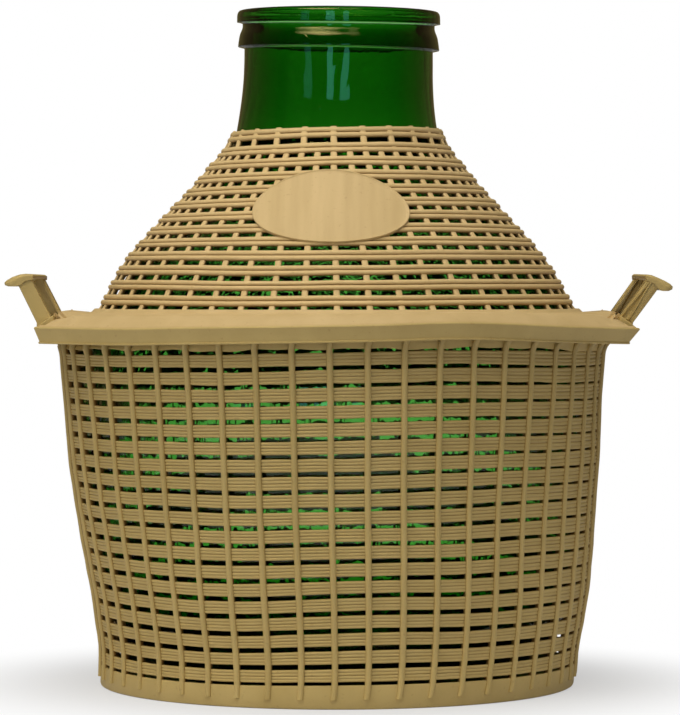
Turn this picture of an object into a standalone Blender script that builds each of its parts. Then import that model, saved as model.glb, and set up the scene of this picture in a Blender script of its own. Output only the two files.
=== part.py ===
"""Wide-mouth glass demijohn in a moulded plastic net, with a lift-off net cover.

The bottle stands in a tub-shaped net basket whose rim carries two handles. A conical net
cover lies on the rim, round the bottle's shoulder, and lifts off over its neck.
The origin is the centre of the base, +Z is up, and the handles lie along X.
"""

import math

import bmesh
import bpy
from mathutils import Vector

MM = 0.001

# Clearances
SEAT_GAP = 0.3 * MM  # between a piece and the seat that it rests on
BOTTLE_PLAY = 1.3 * MM  # between the glass and the net round it
MOUTH_PLAY = 0.8 * MM  # between the bottle's lip and the cover that lifts over it
SLOT_GAP = 0.4 * MM  # round a handle's foot in its slot

# Net, the same on basket and cover. Every third upright of the real net is modelled.
UPRIGHTS = 16
NET_DEPTH = 3.3 * MM
SLAT_DEPTH = 2.6 * MM  # the slats are thickest along their middle, inside

# Basket
BASKET_HEIGHT = 239.5 * MM
FOOT_RADIUS = 157.8 * MM
MOUTH_RADIUS = 180.5 * MM
WALL_SWELL = 0.72  # under 1, the wall swells out more near its foot
FLOOR_LIFT = 2 * MM
FLOOR = 3 * MM
FOOT_RING = 9 * MM
BASKET_ROWS = 20
BASKET_GAP = 3.2 * MM
BOTTOM_BAND = 13.7 * MM
TOP_BAND = 13.6 * MM
BASKET_BENDS = (1, 8)  # the slats at which the wall's straight sections meet
RIB_WIDTH = 3.7 * MM
RIB_PROUD = 2 * MM
RIB_FOOT = 6 * MM
RIB_FLARE = 4.5 * MM
RIB_FLARE_HEIGHT = 11 * MM

# Rim, a circle drawn out to four corners beside the handles
RIM_MARGIN = 10.4 * MM  # from the wall's mouth to the rim's edge
EAR_REACH = 6.1 * MM  # of the corners past the circle, along X
EAR_Y = 75 * MM
FASCIA_HEIGHT = 11 * MM
FASCIA_DRAFT = 3.5 * MM
FASCIA_WALL = 2.5 * MM
RIM_STEPS = 13
LEDGE_DROP = 3 * MM
LEDGE = 3.5 * MM

# Cover
CONE_HEIGHT = 121.5 * MM
CONE_INSET = 17.2 * MM  # from the basket's mouth to the cone's foot
RING_RADIUS = 70.6 * MM
CONE_WAVE = 3.4 * MM  # swell below the cone's middle, and waist above it
COVER_ROWS = 13
COVER_GAP = 3.9 * MM
COVER_BAND = 4.5 * MM
COVER_TOP_BAND = 5.5 * MM
COVER_BENDS = (3, 8)
BAR_WIDTH = 4 * MM
FLANGE_RISE = 7.5 * MM
FLANGE_SLOPE = 11 * MM
FLANGE = 2.5 * MM
FLANGE_LIP = 3.5 * MM
PLATE_WIDTH = 101 * MM
PLATE_HEIGHT = 63.5 * MM
PLATE_UP = 84 * MM  # from the cone's base to the plate's middle, along the slope
PLATE_PROUD = 2 * MM
PLATE_SUNK = 1 * MM
PLATE_ASIDE = -3 * MM
PLATE_SLICES = 11

# Handles
HANDLE_LENGTH = 114 * MM
HANDLE_INSET = 12.5 * MM  # from the rim's flat side to the foot's inner edge
HANDLE_DEPTH = 10 * MM
HANDLE_LEAN = math.radians(26)
POST_WIDTH = 12 * MM
POST_WALL = 2.5 * MM
GRIP_RISE = 32.8 * MM  # of the grip's top over the basket
GRIP_REACH = 18.5 * MM
GRIP_THICKNESS = 4 * MM
GRIP_DROP = 4.5 * MM
FOOT_BLOCK = 5 * MM
PAD_MARGIN = 11 * MM
PAD_BORDER = 1 * MM

# Bottle
BOTTLE_HEIGHT = 448 * MM
GLASS = 4 * MM
BOTTLE_SIDES = 28
LIP_RADIUS = 67 * MM
LIP_HEIGHT = 9 * MM
GROOVE_RADIUS = 64 * MM
BEAD_RADIUS = 66.8 * MM
LIP_CORNER = 2.2 * MM
GROOVE_WIDTH = 4 * MM
BEAD_HEIGHT = 26.5 * MM  # from its underside to the bottle's top
BEAD_THICKNESS = 5.5 * MM
NECK_RADIUS = 63 * MM
NECK_HEIGHT = 43 * MM  # of its straight part, below the top
NECK_ROOT = 64.2 * MM
PUNT_RISE = 15 * MM
BEARING_RADIUS = 98 * MM
HEEL_HEIGHT = 65 * MM
BELLY_HEIGHT = 185 * MM

FACET = math.cos(math.pi / UPRIGHTS)
FRONT = -math.pi / 2

# Sizes that follow from those above
RIM_RADIUS = MOUTH_RADIUS + RIM_MARGIN
EAR_X = RIM_RADIUS + EAR_REACH
CONE_BASE_RADIUS = MOUTH_RADIUS - CONE_INSET
HANDLE_FOOT_X = EAR_X - HANDLE_INSET
GRIP_HEIGHT = BASKET_HEIGHT + GRIP_RISE
BASKET_PITCH = (BASKET_HEIGHT - BOTTOM_BAND - TOP_BAND - BASKET_GAP) / (BASKET_ROWS - 1)
FLOOR_TOP = FLOOR_LIFT + FLOOR
LEDGE_TOP = BASKET_HEIGHT - LEDGE_DROP
CONE_FOOT = BASKET_HEIGHT + FLANGE_RISE
CONE_TOP = CONE_FOOT + CONE_HEIGHT
BORDER = FASCIA_WALL + SLOT_GAP
PAD_X = HANDLE_FOOT_X - PAD_BORDER
PAD_Y = HANDLE_LENGTH / 2 + PAD_MARGIN


def clear_scene():
    for obj in list(bpy.data.objects):
        bpy.data.objects.remove(obj, do_unlink=True)


def plain_material(name, colour, roughness, transmission=0.0):
    material = bpy.data.materials.new(name)
    material.use_nodes = True
    shader = material.node_tree.nodes["Principled BSDF"]
    shader.inputs["Base Color"].default_value = (*colour, 1)
    shader.inputs["Roughness"].default_value = roughness
    shader.inputs["Transmission Weight"].default_value = transmission
    return material


def new_object(name, bm, material):
    bmesh.ops.recalc_face_normals(bm, faces=bm.faces[:])
    mesh = bpy.data.meshes.new(name)
    bm.to_mesh(mesh)
    bm.free()
    mesh.materials.append(material)
    mesh.shade_smooth()
    mesh.set_sharp_from_angle(angle=math.radians(30))
    obj = bpy.data.objects.new(name, mesh)
    bpy.context.scene.collection.objects.link(obj)
    return obj


def boolean(target, operation, helper):
    helper.hide_render = True
    helper.display_type = "WIRE"
    modifier = target.modifiers.new(helper.name, "BOOLEAN")
    modifier.operation = operation
    modifier.object = helper


def skin(bm, rings, closed=False):
    """Joins rings of points into a surface: a closed tube, or one with both ends filled."""
    rows = [[bm.verts.new(point) for point in ring] for ring in rings]
    pairs = list(zip(rows, rows[1:]))
    if closed:
        pairs.append((rows[-1], rows[0]))
    else:
        bm.faces.new(rows[0])
        bm.faces.new(rows[-1])
    for low, high in pairs:
        for i in range(len(low)):
            j = (i + 1) % len(low)
            bm.faces.new((low[i], low[j], high[j], high[i]))


def turned(outline, sides):
    """A solid of revolution about Z, with a corner at the front."""
    bm = bmesh.new()
    start = [
        bm.verts.new((radius * math.cos(FRONT), radius * math.sin(FRONT), height))
        for radius, height in outline
    ]
    edges = [bm.edges.new(pair) for pair in zip(start, start[1:])]
    if outline[0][0] > 0:
        edges.append(bm.edges.new((start[-1], start[0])))
    bmesh.ops.spin(
        bm, geom=start + edges, cent=(0, 0, 0), axis=(0, 0, 1), angle=2 * math.pi, steps=sides, use_merge=True
    )
    bmesh.ops.remove_doubles(bm, verts=bm.verts[:], dist=1e-7)
    return bm


def bezier(start, control, end, steps):
    """Points along a quadratic curve, leaving out its start."""
    start, control, end = Vector(start), Vector(control), Vector(end)
    points = []
    for i in range(1, steps + 1):
        t = i / steps
        point = start * (1 - t) ** 2 + control * (2 * t * (1 - t)) + end * t**2
        points.append(tuple(point))
    return points


class Slope:
    """The net's outer face at the middle of a facet, as straight sections of (distance, height)."""

    def __init__(self, points):
        self.points = [Vector(point) for point in points]
        self.runs = [0.0]
        for start, end in zip(self.points, self.points[1:]):
            self.runs.append(self.runs[-1] + (end - start).length)

    def normal(self, section):
        start, end = self.points[section], self.points[section + 1]
        along = (end - start).normalized()
        return Vector((along.y, -along.x))

    def at(self, run, depth=0.0):
        """The point this far up the slope, this deep under the outer face."""
        last = len(self.points) - 2
        section = next((i for i in range(last) if run < self.runs[i + 1]), last)
        start, end = self.points[section], self.points[section + 1]
        share = (run - self.runs[section]) / (self.runs[section + 1] - self.runs[section])
        return start.lerp(end, share) - self.normal(section) * depth

    def bend(self, index, depth):
        """The point at a bend of the slope, this deep under both of its sections."""
        below = self.normal(max(index - 1, 0))
        above = self.normal(min(index, len(self.points) - 2))
        middle = (below + above).normalized()
        return self.points[index] - middle * (depth / middle.dot(above))

    @property
    def length(self):
        return self.runs[-1]


def wall_radius(height):
    """The basket wall's radius at its uprights, over the slats."""
    start = slat_height(BASKET_BENDS[0])
    share = max(height - start, 0) / (LEDGE_TOP - start)
    return FOOT_RADIUS + (MOUTH_RADIUS - FOOT_RADIUS) * share**WALL_SWELL


def slat_height(index):
    """The height of a slat's middle. Slat 0 is the bottom band's edge."""
    return BOTTOM_BAND + BASKET_GAP / 2 + (index - 0.5) * BASKET_PITCH


def cone_radius(rise):
    """The cover's radius at its uprights, at this height above its foot."""
    share = rise / CONE_HEIGHT
    straight = CONE_BASE_RADIUS + (RING_RADIUS - CONE_BASE_RADIUS) * share
    return straight + CONE_WAVE * math.sin(2 * math.pi * share)


def basket_slope():
    heights = [slat_height(index) for index in BASKET_BENDS]
    heights = [FOOT_RING / 2] + heights + [LEDGE_TOP - LEDGE / 3]
    return Slope([(wall_radius(height) * FACET, height) for height in heights])


def cover_slope():
    shares = [(index + 0.5) / (COVER_ROWS + 0.5) for index in COVER_BENDS]
    rises = [0.0] + [CONE_HEIGHT * share for share in shares] + [CONE_HEIGHT]
    return Slope([(cone_radius(rise) * FACET, CONE_FOOT + rise) for rise in rises])


def comb_outline(slope, first_run, pitch, gap, rows):
    """The outline of what is cut from one facet: a slot for each gap, joined behind the slats.

    The slots widen inwards, so that each slat between two of them is a ridge inside.
    """
    over = SLAT_DEPTH / 5
    narrow = gap / 2 - over / SLAT_DEPTH * (pitch - gap) / 2
    outline = []
    for row in range(rows):
        middle = first_run + row * pitch
        outline.append(slope.at(middle - narrow, -over))
        outline.append(slope.at(middle + narrow, -over))
        if row < rows - 1:
            outline.append(slope.at(middle + pitch / 2, SLAT_DEPTH))
    deep = NET_DEPTH + over
    last = first_run + (rows - 1) * pitch
    end = last + gap / 2 + over
    start = first_run - gap / 2 - over
    outline.append(slope.at(end, deep))
    for index in reversed(range(1, len(slope.points) - 1)):
        if start < slope.runs[index] < end:
            outline.append(slope.bend(index, deep))
    outline.append(slope.at(start, deep))
    return outline


def comb_cutters(outline, bar_width):
    """The outline on every facet, ending at the sides of the uprights."""
    bm = bmesh.new()
    for facet in range(UPRIGHTS):
        angle = FRONT + (facet + 0.5) * 2 * math.pi / UPRIGHTS
        out = Vector((math.cos(angle), math.sin(angle), 0))
        across = Vector((-math.sin(angle), math.cos(angle), 0))
        sides = []
        for sign in (-1, 1):
            ring = []
            for distance, height in outline:
                half = distance * math.tan(math.pi / UPRIGHTS) - bar_width / 2 / FACET
                ring.append(out * distance + across * (sign * half) + Vector((0, 0, height)))
            sides.append(ring)
        skin(bm, sides)
    return bm


def rim_point(angle, inset):
    """A point of the rim's plan, drawn in by the inset: the circle, its tangents and the flat sides."""
    folded = math.atan2(abs(math.sin(angle)), abs(math.cos(angle)))
    reach = math.hypot(EAR_X, EAR_Y)
    tangent = math.atan2(EAR_Y, EAR_X) + math.acos(RIM_RADIUS / reach)
    radius = RIM_RADIUS - inset
    if folded < tangent:
        radius = min(radius / math.cos(tangent - folded), (EAR_X - inset) / math.cos(folded))
    return radius


def rim_angles():
    """The directions of the rim's points: even steps, with one at each corner and none on an axis."""
    corner = math.atan2(EAR_Y, EAR_X)
    side = [corner * (i / 1.5 - 1) for i in range(3)]
    front_arc = [corner + (math.pi - 2 * corner) * i / RIM_STEPS for i in range(RIM_STEPS)]
    quarter = side + front_arc
    return quarter + [angle + math.pi for angle in quarter]


def rim_ring(inset, height):
    return [
        (rim_point(a, inset) * math.cos(a), rim_point(a, inset) * math.sin(a), height) for a in rim_angles()
    ]


def round_ring(radius, height):
    return [(radius * math.cos(a), radius * math.sin(a), height) for a in rim_angles()]


def upright_bar(slope, angle, half_width, outward, levels):
    """Rings of a bar that follows the net's corner from level to level, each (run, proud, sunk)."""
    out = Vector((math.cos(angle), math.sin(angle), 0))
    across = Vector((-math.sin(angle), math.cos(angle), 0))
    rings = []
    for run, proud, sunk in levels:
        point = slope.at(run)
        corner = out * (point.x / FACET) + Vector((0, 0, point.y))
        outer, inner = corner + out * proud, corner - out * sunk
        edge = across * half_width
        crown = across * (half_width * outward)
        rings.append([inner - edge, inner + edge, outer + crown, outer - crown])
    return rings


def make_basket(material):
    slope = basket_slope()
    inner_foot = slope.bend(0, NET_DEPTH).x / FACET
    ring_inside = FOOT_RADIUS - FOOT_RING
    foot = [
        (inner_foot, FLOOR_TOP),
        (0, FLOOR_TOP),
        (0, FLOOR_LIFT),
        (ring_inside, FLOOR_LIFT),
        (ring_inside, 0),
        (FOOT_RADIUS - FOOT_RING / 6, 0),
    ]
    wall_top = slope.points[-1]
    inside_top = (slope.bend(len(slope.points) - 1, NET_DEPTH).x / FACET, wall_top.y)
    outer = [(point.x / FACET, point.y) for point in slope.points]
    inner = [slope.bend(index, NET_DEPTH) for index in reversed(range(1, len(slope.points) - 1))]
    inner = [(point.x / FACET, point.y) for point in inner]
    outline = foot[2:] + outer + [inside_top] + inner + foot[:2]
    basket = new_object("lower_basket", turned(outline, UPRIGHTS), material)

    first_run = BOTTOM_BAND + BASKET_GAP / 2 - slope.points[0].y
    comb = comb_outline(slope, first_run, BASKET_PITCH, BASKET_GAP, BASKET_ROWS)
    boolean(basket, "DIFFERENCE", new_object("cut_basket_gaps", comb_cutters(comb, BAR_WIDTH), material))
    boolean(basket, "UNION", new_object("add_ribs", rib_bars(slope), material))
    boolean(basket, "UNION", new_object("add_rim", rim_body(), material))
    boolean(basket, "UNION", new_object("add_handle_pads", pad_bodies(), material))
    boolean(basket, "DIFFERENCE", new_object("cut_handle_slots", slot_cutters(), material))
    return basket


def rib_bars(slope):
    bm = bmesh.new()
    foot_run = RIB_FOOT - slope.points[0].y
    flare_run = slope.length - RIB_FLARE_HEIGHT
    bends = [(slope.runs[i], RIB_PROUD, NET_DEPTH / 4) for i in range(1, len(slope.runs) - 1)]
    levels = [(foot_run, RIB_PROUD / 2, NET_DEPTH / 4)]
    levels += bends
    levels += [(flare_run, RIB_PROUD, NET_DEPTH / 4)]
    levels += [(slope.length - LEDGE / 2, RIB_PROUD + RIB_FLARE, NET_DEPTH / 4)]
    for index in range(UPRIGHTS):
        angle = FRONT + index * 2 * math.pi / UPRIGHTS
        skin(bm, upright_bar(slope, angle, RIB_WIDTH / 2, 0.65, levels))
    return bm


def rim_body():
    """The ledge that the cover lies on, with the fascia round it."""
    skirt_foot = BASKET_HEIGHT - FASCIA_HEIGHT
    ledge_under = LEDGE_TOP - LEDGE
    draft_at_ledge = FASCIA_DRAFT * (BASKET_HEIGHT - ledge_under) / FASCIA_HEIGHT
    seat = MOUTH_RADIUS - NET_DEPTH * 0.75
    bm = bmesh.new()
    rings = [
        rim_ring(0, BASKET_HEIGHT),
        rim_ring(FASCIA_DRAFT, skirt_foot),
        rim_ring(FASCIA_DRAFT + FASCIA_WALL, skirt_foot),
        rim_ring(draft_at_ledge + FASCIA_WALL, ledge_under),
        round_ring(seat, ledge_under),
        round_ring(seat, LEDGE_TOP),
        rim_ring(FASCIA_WALL, LEDGE_TOP),
        rim_ring(FASCIA_WALL, BASKET_HEIGHT),
    ]
    skin(bm, rings, closed=True)
    return bm


def mirrored(ring, sign):
    return [(sign * x, y, z) for x, y, z in ring]


def pad_bodies():
    """A raised pad on each side of the rim, level with the cover, out of which the handle stands."""
    foot = LEDGE_TOP - LEDGE / 2
    outer_x = EAR_X - FASCIA_WALL * 0.8
    outline = [
        (PAD_X, foot),
        (outer_x, foot),
        (outer_x, BASKET_HEIGHT - SEAT_GAP),
        (PAD_X, CONE_FOOT),
    ]
    bm = bmesh.new()
    for sign in (-1, 1):
        rings = [[(x, y, z) for x, z in outline] for y in (-PAD_Y, PAD_Y)]
        skin(bm, [mirrored(ring, sign) for ring in rings])
    return bm


def lean_x(x, height):
    """Where a line that leans with the handle is at this height, if it passes x at the ledge."""
    return x + (height - LEDGE_TOP) * math.tan(HANDLE_LEAN)


def foot_section(height, y_outer, y_inner, margin):
    """A rectangle round a handle's foot at this height."""
    low = lean_x(HANDLE_FOOT_X, height) - margin
    high = lean_x(HANDLE_FOOT_X + HANDLE_DEPTH, height) + margin
    return [
        (low, y_inner - margin, height),
        (high, y_inner - margin, height),
        (high, y_outer + margin, height),
        (low, y_outer + margin, height),
    ]


def turn_half(ring):
    return [(x, -y, z) for x, y, z in ring]


def slot_cutters():
    bm = bmesh.new()
    outer = HANDLE_LENGTH / 2
    inner = outer - POST_WIDTH
    rings = [
        foot_section(LEDGE_TOP, outer, inner, SLOT_GAP),
        foot_section(CONE_FOOT + FLANGE, outer, inner, SLOT_GAP),
    ]
    for sign in (-1, 1):
        for ends in (rings, [turn_half(ring) for ring in rings]):
            skin(bm, [mirrored(ring, sign) for ring in ends])
    return bm


def make_cover(material):
    slope = cover_slope()
    opening = (LIP_RADIUS + MOUTH_PLAY) / FACET
    foot_level = CONE_FOOT - FLANGE / 2
    spread = (slope.points[0].x - slope.points[1].x) / (slope.points[1].y - slope.points[0].y)
    outer_foot = (slope.points[0].x + spread * FLANGE / 2) / FACET
    inner_foot = outer_foot - NET_DEPTH * 1.5
    outer = [(point.x / FACET, point.y) for point in slope.points[1:]]
    inner = [slope.bend(index, NET_DEPTH) for index in reversed(range(1, len(slope.points) - 1))]
    inner = [(point.x / FACET, point.y) for point in inner]
    outline = [(inner_foot, foot_level), (outer_foot, foot_level)] + outer + [(opening, CONE_TOP)] + inner
    cover = new_object("top_cover", turned(outline, UPRIGHTS), material)

    first_run = COVER_BAND + COVER_GAP / 2
    pitch = (slope.length - COVER_BAND - COVER_TOP_BAND - COVER_GAP) / (COVER_ROWS - 1)
    comb = comb_outline(slope, first_run, pitch, COVER_GAP, COVER_ROWS)
    boolean(cover, "DIFFERENCE", new_object("cut_cover_gaps", comb_cutters(comb, BAR_WIDTH), material))
    boolean(cover, "UNION", new_object("add_flange", flange_body(inner_foot), material))
    boolean(cover, "UNION", new_object("add_plate", plate_body(slope), material))
    boolean(cover, "DIFFERENCE", new_object("cut_pad_notches", notch_cutters(), material))
    return cover


def flange_body(inner_foot):
    """The cover's border: level beside the cone, then sloping down to a lip on the basket's ledge."""
    edge_top = BASKET_HEIGHT + SLOT_GAP
    slope_end = BORDER + FLANGE_SLOPE
    lip_foot = LEDGE_TOP + SEAT_GAP
    lip_inside = BORDER + FLANGE_LIP
    fall = (CONE_FOOT - edge_top) * FLANGE_LIP / FLANGE_SLOPE
    inside = inner_foot - NET_DEPTH / 2
    bm = bmesh.new()
    rings = [
        rim_ring(BORDER, edge_top),
        rim_ring(slope_end, CONE_FOOT),
        round_ring(inside, CONE_FOOT),
        round_ring(inside, CONE_FOOT - FLANGE),
        rim_ring(slope_end + FLANGE / 3, CONE_FOOT - FLANGE),
        rim_ring(lip_inside, edge_top + fall - FLANGE),
        rim_ring(lip_inside, lip_foot),
        rim_ring(BORDER, lip_foot),
    ]
    skin(bm, rings, closed=True)
    return bm


def notch_cutters():
    """Where the cover's border stops short of the handle pads."""
    low, high = LEDGE_TOP - LEDGE, CONE_FOOT + FLANGE
    inside, outside = PAD_X - SEAT_GAP, EAR_X + FASCIA_WALL
    reach = PAD_Y + SEAT_GAP
    bm = bmesh.new()
    for sign in (-1, 1):
        rings = [
            [(inside, -reach, z), (outside, -reach, z), (outside, reach, z), (inside, reach, z)]
            for z in (low, high)
        ]
        skin(bm, [mirrored(ring, sign) for ring in rings])
    return bm


def plate_body(slope):
    """The oval plate, bent round the cone, as upright slices from one end to the other."""
    bm = bmesh.new()
    rings = []
    for i in range(PLATE_SLICES + 1):
        turn = math.pi * (i + 0.25) / (PLATE_SLICES + 0.5)
        across = PLATE_ASIDE - PLATE_WIDTH / 2 * math.cos(turn)
        half = PLATE_HEIGHT / 2 * math.sin(turn)
        ring = []
        for up, depth in ((-half, PLATE_SUNK), (half, PLATE_SUNK), (half, -PLATE_PROUD), (-half, -PLATE_PROUD)):
            point = slope.at(PLATE_UP + up, depth)
            radius = point.x / FACET
            angle = FRONT + across / (slope.at(PLATE_UP).x / FACET)
            ring.append((radius * math.cos(angle), radius * math.sin(angle), point.y))
        rings.append(ring)
    skin(bm, rings)
    return bm


def post_section(height, y_outer):
    """An angle section: a web across the handle's depth, and a flange along its inner edge."""
    y_inner = y_outer - POST_WIDTH
    low = lean_x(HANDLE_FOOT_X, height)
    high = low + HANDLE_DEPTH
    return [
        (low, y_inner, height),
        (low + POST_WALL, y_inner, height),
        (low + POST_WALL, y_outer - POST_WALL, height),
        (high, y_outer - POST_WALL, height),
        (high, y_outer, height),
        (low, y_outer, height),
    ]


def grip_section(y):
    """The grip across its length: crowned on top, with a round lip turned down outside."""
    start = lean_x(HANDLE_FOOT_X, GRIP_HEIGHT)
    end = start + GRIP_REACH
    under = GRIP_HEIGHT - GRIP_THICKNESS
    return [
        (start, y, under),
        (start, y, GRIP_HEIGHT - GRIP_THICKNESS / 4),
        (start + GRIP_REACH * 0.15, y, GRIP_HEIGHT),
        (start + GRIP_REACH * 0.5, y, GRIP_HEIGHT - GRIP_DROP * 0.25),
        (start + GRIP_REACH * 0.82, y, GRIP_HEIGHT - GRIP_DROP * 0.62),
        (end, y, GRIP_HEIGHT - GRIP_DROP),
        (end - GRIP_REACH * 0.06, y, under - GRIP_DROP * 0.7),
        (end - GRIP_REACH * 0.28, y, under - GRIP_DROP * 0.85),
        (end - GRIP_REACH * 0.4, y, under - GRIP_DROP * 0.3),
    ]


def make_handle(name, sign, material):
    outer = HANDLE_LENGTH / 2
    bm = bmesh.new()
    skin(bm, [mirrored(grip_section(y), sign) for y in (-outer - POST_WALL / 2, outer + POST_WALL / 2)])
    handle = new_object(name, bm, material)

    foot = LEDGE_TOP + SEAT_GAP
    block_top = BASKET_HEIGHT + FOOT_BLOCK
    posts, feet = bmesh.new(), bmesh.new()
    post_rings = [post_section(foot + FOOT_BLOCK / 2, outer), post_section(GRIP_HEIGHT - GRIP_THICKNESS / 2, outer)]
    block_rings = [foot_section(foot, outer, outer - POST_WIDTH, 0), foot_section(block_top, outer, outer - POST_WIDTH, 0)]
    for flip in (False, True):
        for bm, rings in ((posts, post_rings), (feet, block_rings)):
            ends = [turn_half(ring) if flip else ring for ring in rings]
            skin(bm, [mirrored(ring, sign) for ring in ends])
    boolean(handle, "UNION", new_object(name + "_posts", posts, material))
    boolean(handle, "UNION", new_object(name + "_feet", feet, material))
    return handle


def glass_side(height):
    """The bottle's radius against the basket's wall."""
    return wall_radius(height) * FACET - NET_DEPTH - BOTTLE_PLAY


def bottle_outside():
    """The bottle's outer face, from the middle of its base to the foot of its straight neck."""
    stand = FLOOR_TOP + SEAT_GAP
    heel_top = stand + HEEL_HEIGHT
    heel_radius = glass_side(heel_top)
    outside = [(0, stand + PUNT_RISE), (BEARING_RADIUS * 0.6, stand + PUNT_RISE * 0.7), (BEARING_RADIUS * 0.94, stand)]
    outside.append((BEARING_RADIUS, stand))
    for i in range(1, 5):
        turn = math.pi / 2 * i / 4
        radius = BEARING_RADIUS + (heel_radius - BEARING_RADIUS) * math.sin(turn)
        outside.append((radius, heel_top - HEEL_HEIGHT * math.cos(turn)))
    outside.append((glass_side((heel_top + BELLY_HEIGHT) / 2), (heel_top + BELLY_HEIGHT) / 2))
    belly = (glass_side(BELLY_HEIGHT), BELLY_HEIGHT)
    outside.append(belly)

    slope = cover_slope()
    deep = NET_DEPTH + BOTTLE_PLAY * 1.5
    shoulder = slope.at(slope.length * 0.04, deep)
    fall = slope.normal(0)
    corner = (belly[0], shoulder.y - (belly[0] - shoulder.x) * fall.x / fall.y)
    outside += bezier(belly, corner, shoulder, 4)
    outside.append(tuple(slope.bend(1, deep)))
    outside.append(tuple(slope.at(slope.length * 0.5, deep)))
    collar = slope.at(slope.length * 0.88, deep)
    neck_foot = (NECK_RADIUS, BOTTLE_HEIGHT - NECK_HEIGHT)
    outside.append(tuple(slope.bend(2, deep)))
    outside += [tuple(collar)]
    outside += bezier(collar, (NECK_ROOT, collar.y + (neck_foot[1] - collar.y) * 0.26), neck_foot, 4)
    return outside


def inset_outline(points, distance):
    """The points drawn in by a wall, each along the mean normal of its two runs."""
    drawn = []
    for i, point in enumerate(points):
        before = Vector(points[max(i - 1, 0)])
        after = Vector(points[min(i + 1, len(points) - 1)])
        along = (after - before).normalized()
        moved = Vector(point) + Vector((-along.y, along.x)) * distance
        drawn.append((max(moved.x, 0.0), moved.y))
    drawn[0] = (0.0, points[0][1] + distance)
    return drawn


def make_bottle(material):
    top = BOTTLE_HEIGHT
    outside = bottle_outside()
    bead_foot = top - BEAD_HEIGHT
    lip_foot = top - LIP_HEIGHT
    corner = LIP_CORNER
    finish = [
        (NECK_RADIUS, bead_foot),
        (BEAD_RADIUS, bead_foot + BEAD_THICKNESS * 0.15),
        (BEAD_RADIUS, bead_foot + BEAD_THICKNESS),
        (GROOVE_RADIUS, lip_foot - corner * 0.7 - GROOVE_WIDTH),
        (GROOVE_RADIUS, lip_foot - corner * 0.7),
        (LIP_RADIUS, lip_foot),
        (LIP_RADIUS, top - corner),
        (LIP_RADIUS - corner, top),
        (NECK_RADIUS - GLASS + corner, top),
        (NECK_RADIUS - GLASS, top - corner),
    ]
    inside = inset_outline(outside, GLASS)
    inside[-1] = (NECK_RADIUS - GLASS, outside[-1][1])
    skipped = {2, 5, 7}
    kept = [point for i, point in enumerate(inside) if i not in skipped]
    outline = outside + finish + kept[::-1]
    return new_object("bottle", turned(outline, BOTTLE_SIDES), material)


def main():
    clear_scene()
    glass = plain_material("green_glass", (0.01, 0.18, 0.03), 0.05, transmission=0.9)
    plastic = plain_material("tan_plastic", (0.52, 0.36, 0.18), 0.45)
    make_bottle(glass)
    make_basket(plastic)
    make_cover(plastic)
    make_handle("handle_left", -1, plastic)
    make_handle("handle_right", 1, plastic)


main()
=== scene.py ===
"""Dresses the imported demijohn: green glass, woven-look plastic net, rim, plate and handles.

The nets are laid out flat and wrapped round the wall of the basket and of the cover by
geometry nodes. Lengths are in metres, +Z is up, and the handles lie along X.
"""

import math
from functools import reduce

import bmesh
import bpy
import numpy as np
from bpy.props import FloatProperty, FloatVectorProperty, IntProperty, PointerProperty
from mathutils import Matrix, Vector


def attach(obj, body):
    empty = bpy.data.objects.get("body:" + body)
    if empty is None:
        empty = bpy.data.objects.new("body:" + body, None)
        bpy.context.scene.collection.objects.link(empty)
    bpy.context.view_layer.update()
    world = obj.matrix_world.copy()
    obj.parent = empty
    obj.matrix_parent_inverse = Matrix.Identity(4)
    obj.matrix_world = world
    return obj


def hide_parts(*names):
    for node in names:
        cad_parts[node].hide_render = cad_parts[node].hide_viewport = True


bl_info = {
    "name": "Demijohn dresser",
    "version": (1, 0, 0),
    "blender": (4, 5, 0),
    "location": "View3D > Sidebar > Demijohn",
    "description": "Builds the visible glass, nets, rim, plate and handles of a netted demijohn",
    "category": "Object",
}

MM = 0.001
TURN = 2 * math.pi
FRONT = -math.pi / 2

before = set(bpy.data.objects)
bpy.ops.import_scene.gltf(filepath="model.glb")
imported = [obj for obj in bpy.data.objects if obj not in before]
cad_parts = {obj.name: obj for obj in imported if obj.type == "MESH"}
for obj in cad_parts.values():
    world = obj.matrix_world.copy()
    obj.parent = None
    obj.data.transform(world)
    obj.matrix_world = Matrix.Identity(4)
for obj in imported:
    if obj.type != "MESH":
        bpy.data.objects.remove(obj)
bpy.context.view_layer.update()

WALL_RADIUS = 0.18

# Walls of the two nets, outside their slats, as (radius, height) in millimetres
BASKET_WALL = (
    (157.6, 0), (157.6, 14), (158.2, 31), (163.2, 62), (166.2, 81), (169.1, 103),
    (173.4, 149), (176.4, 189), (178.9, 223), (179.6, 240),
)
COVER_WALL = (
    (163.6, 246.4), (158.0, 252), (151.3, 263), (141.3, 280), (127.7, 297), (113.0, 313),
    (97.0, 330), (82.6, 348), (75.6, 357), (70.2, 368), (68.9, 371.5),
)

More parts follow.
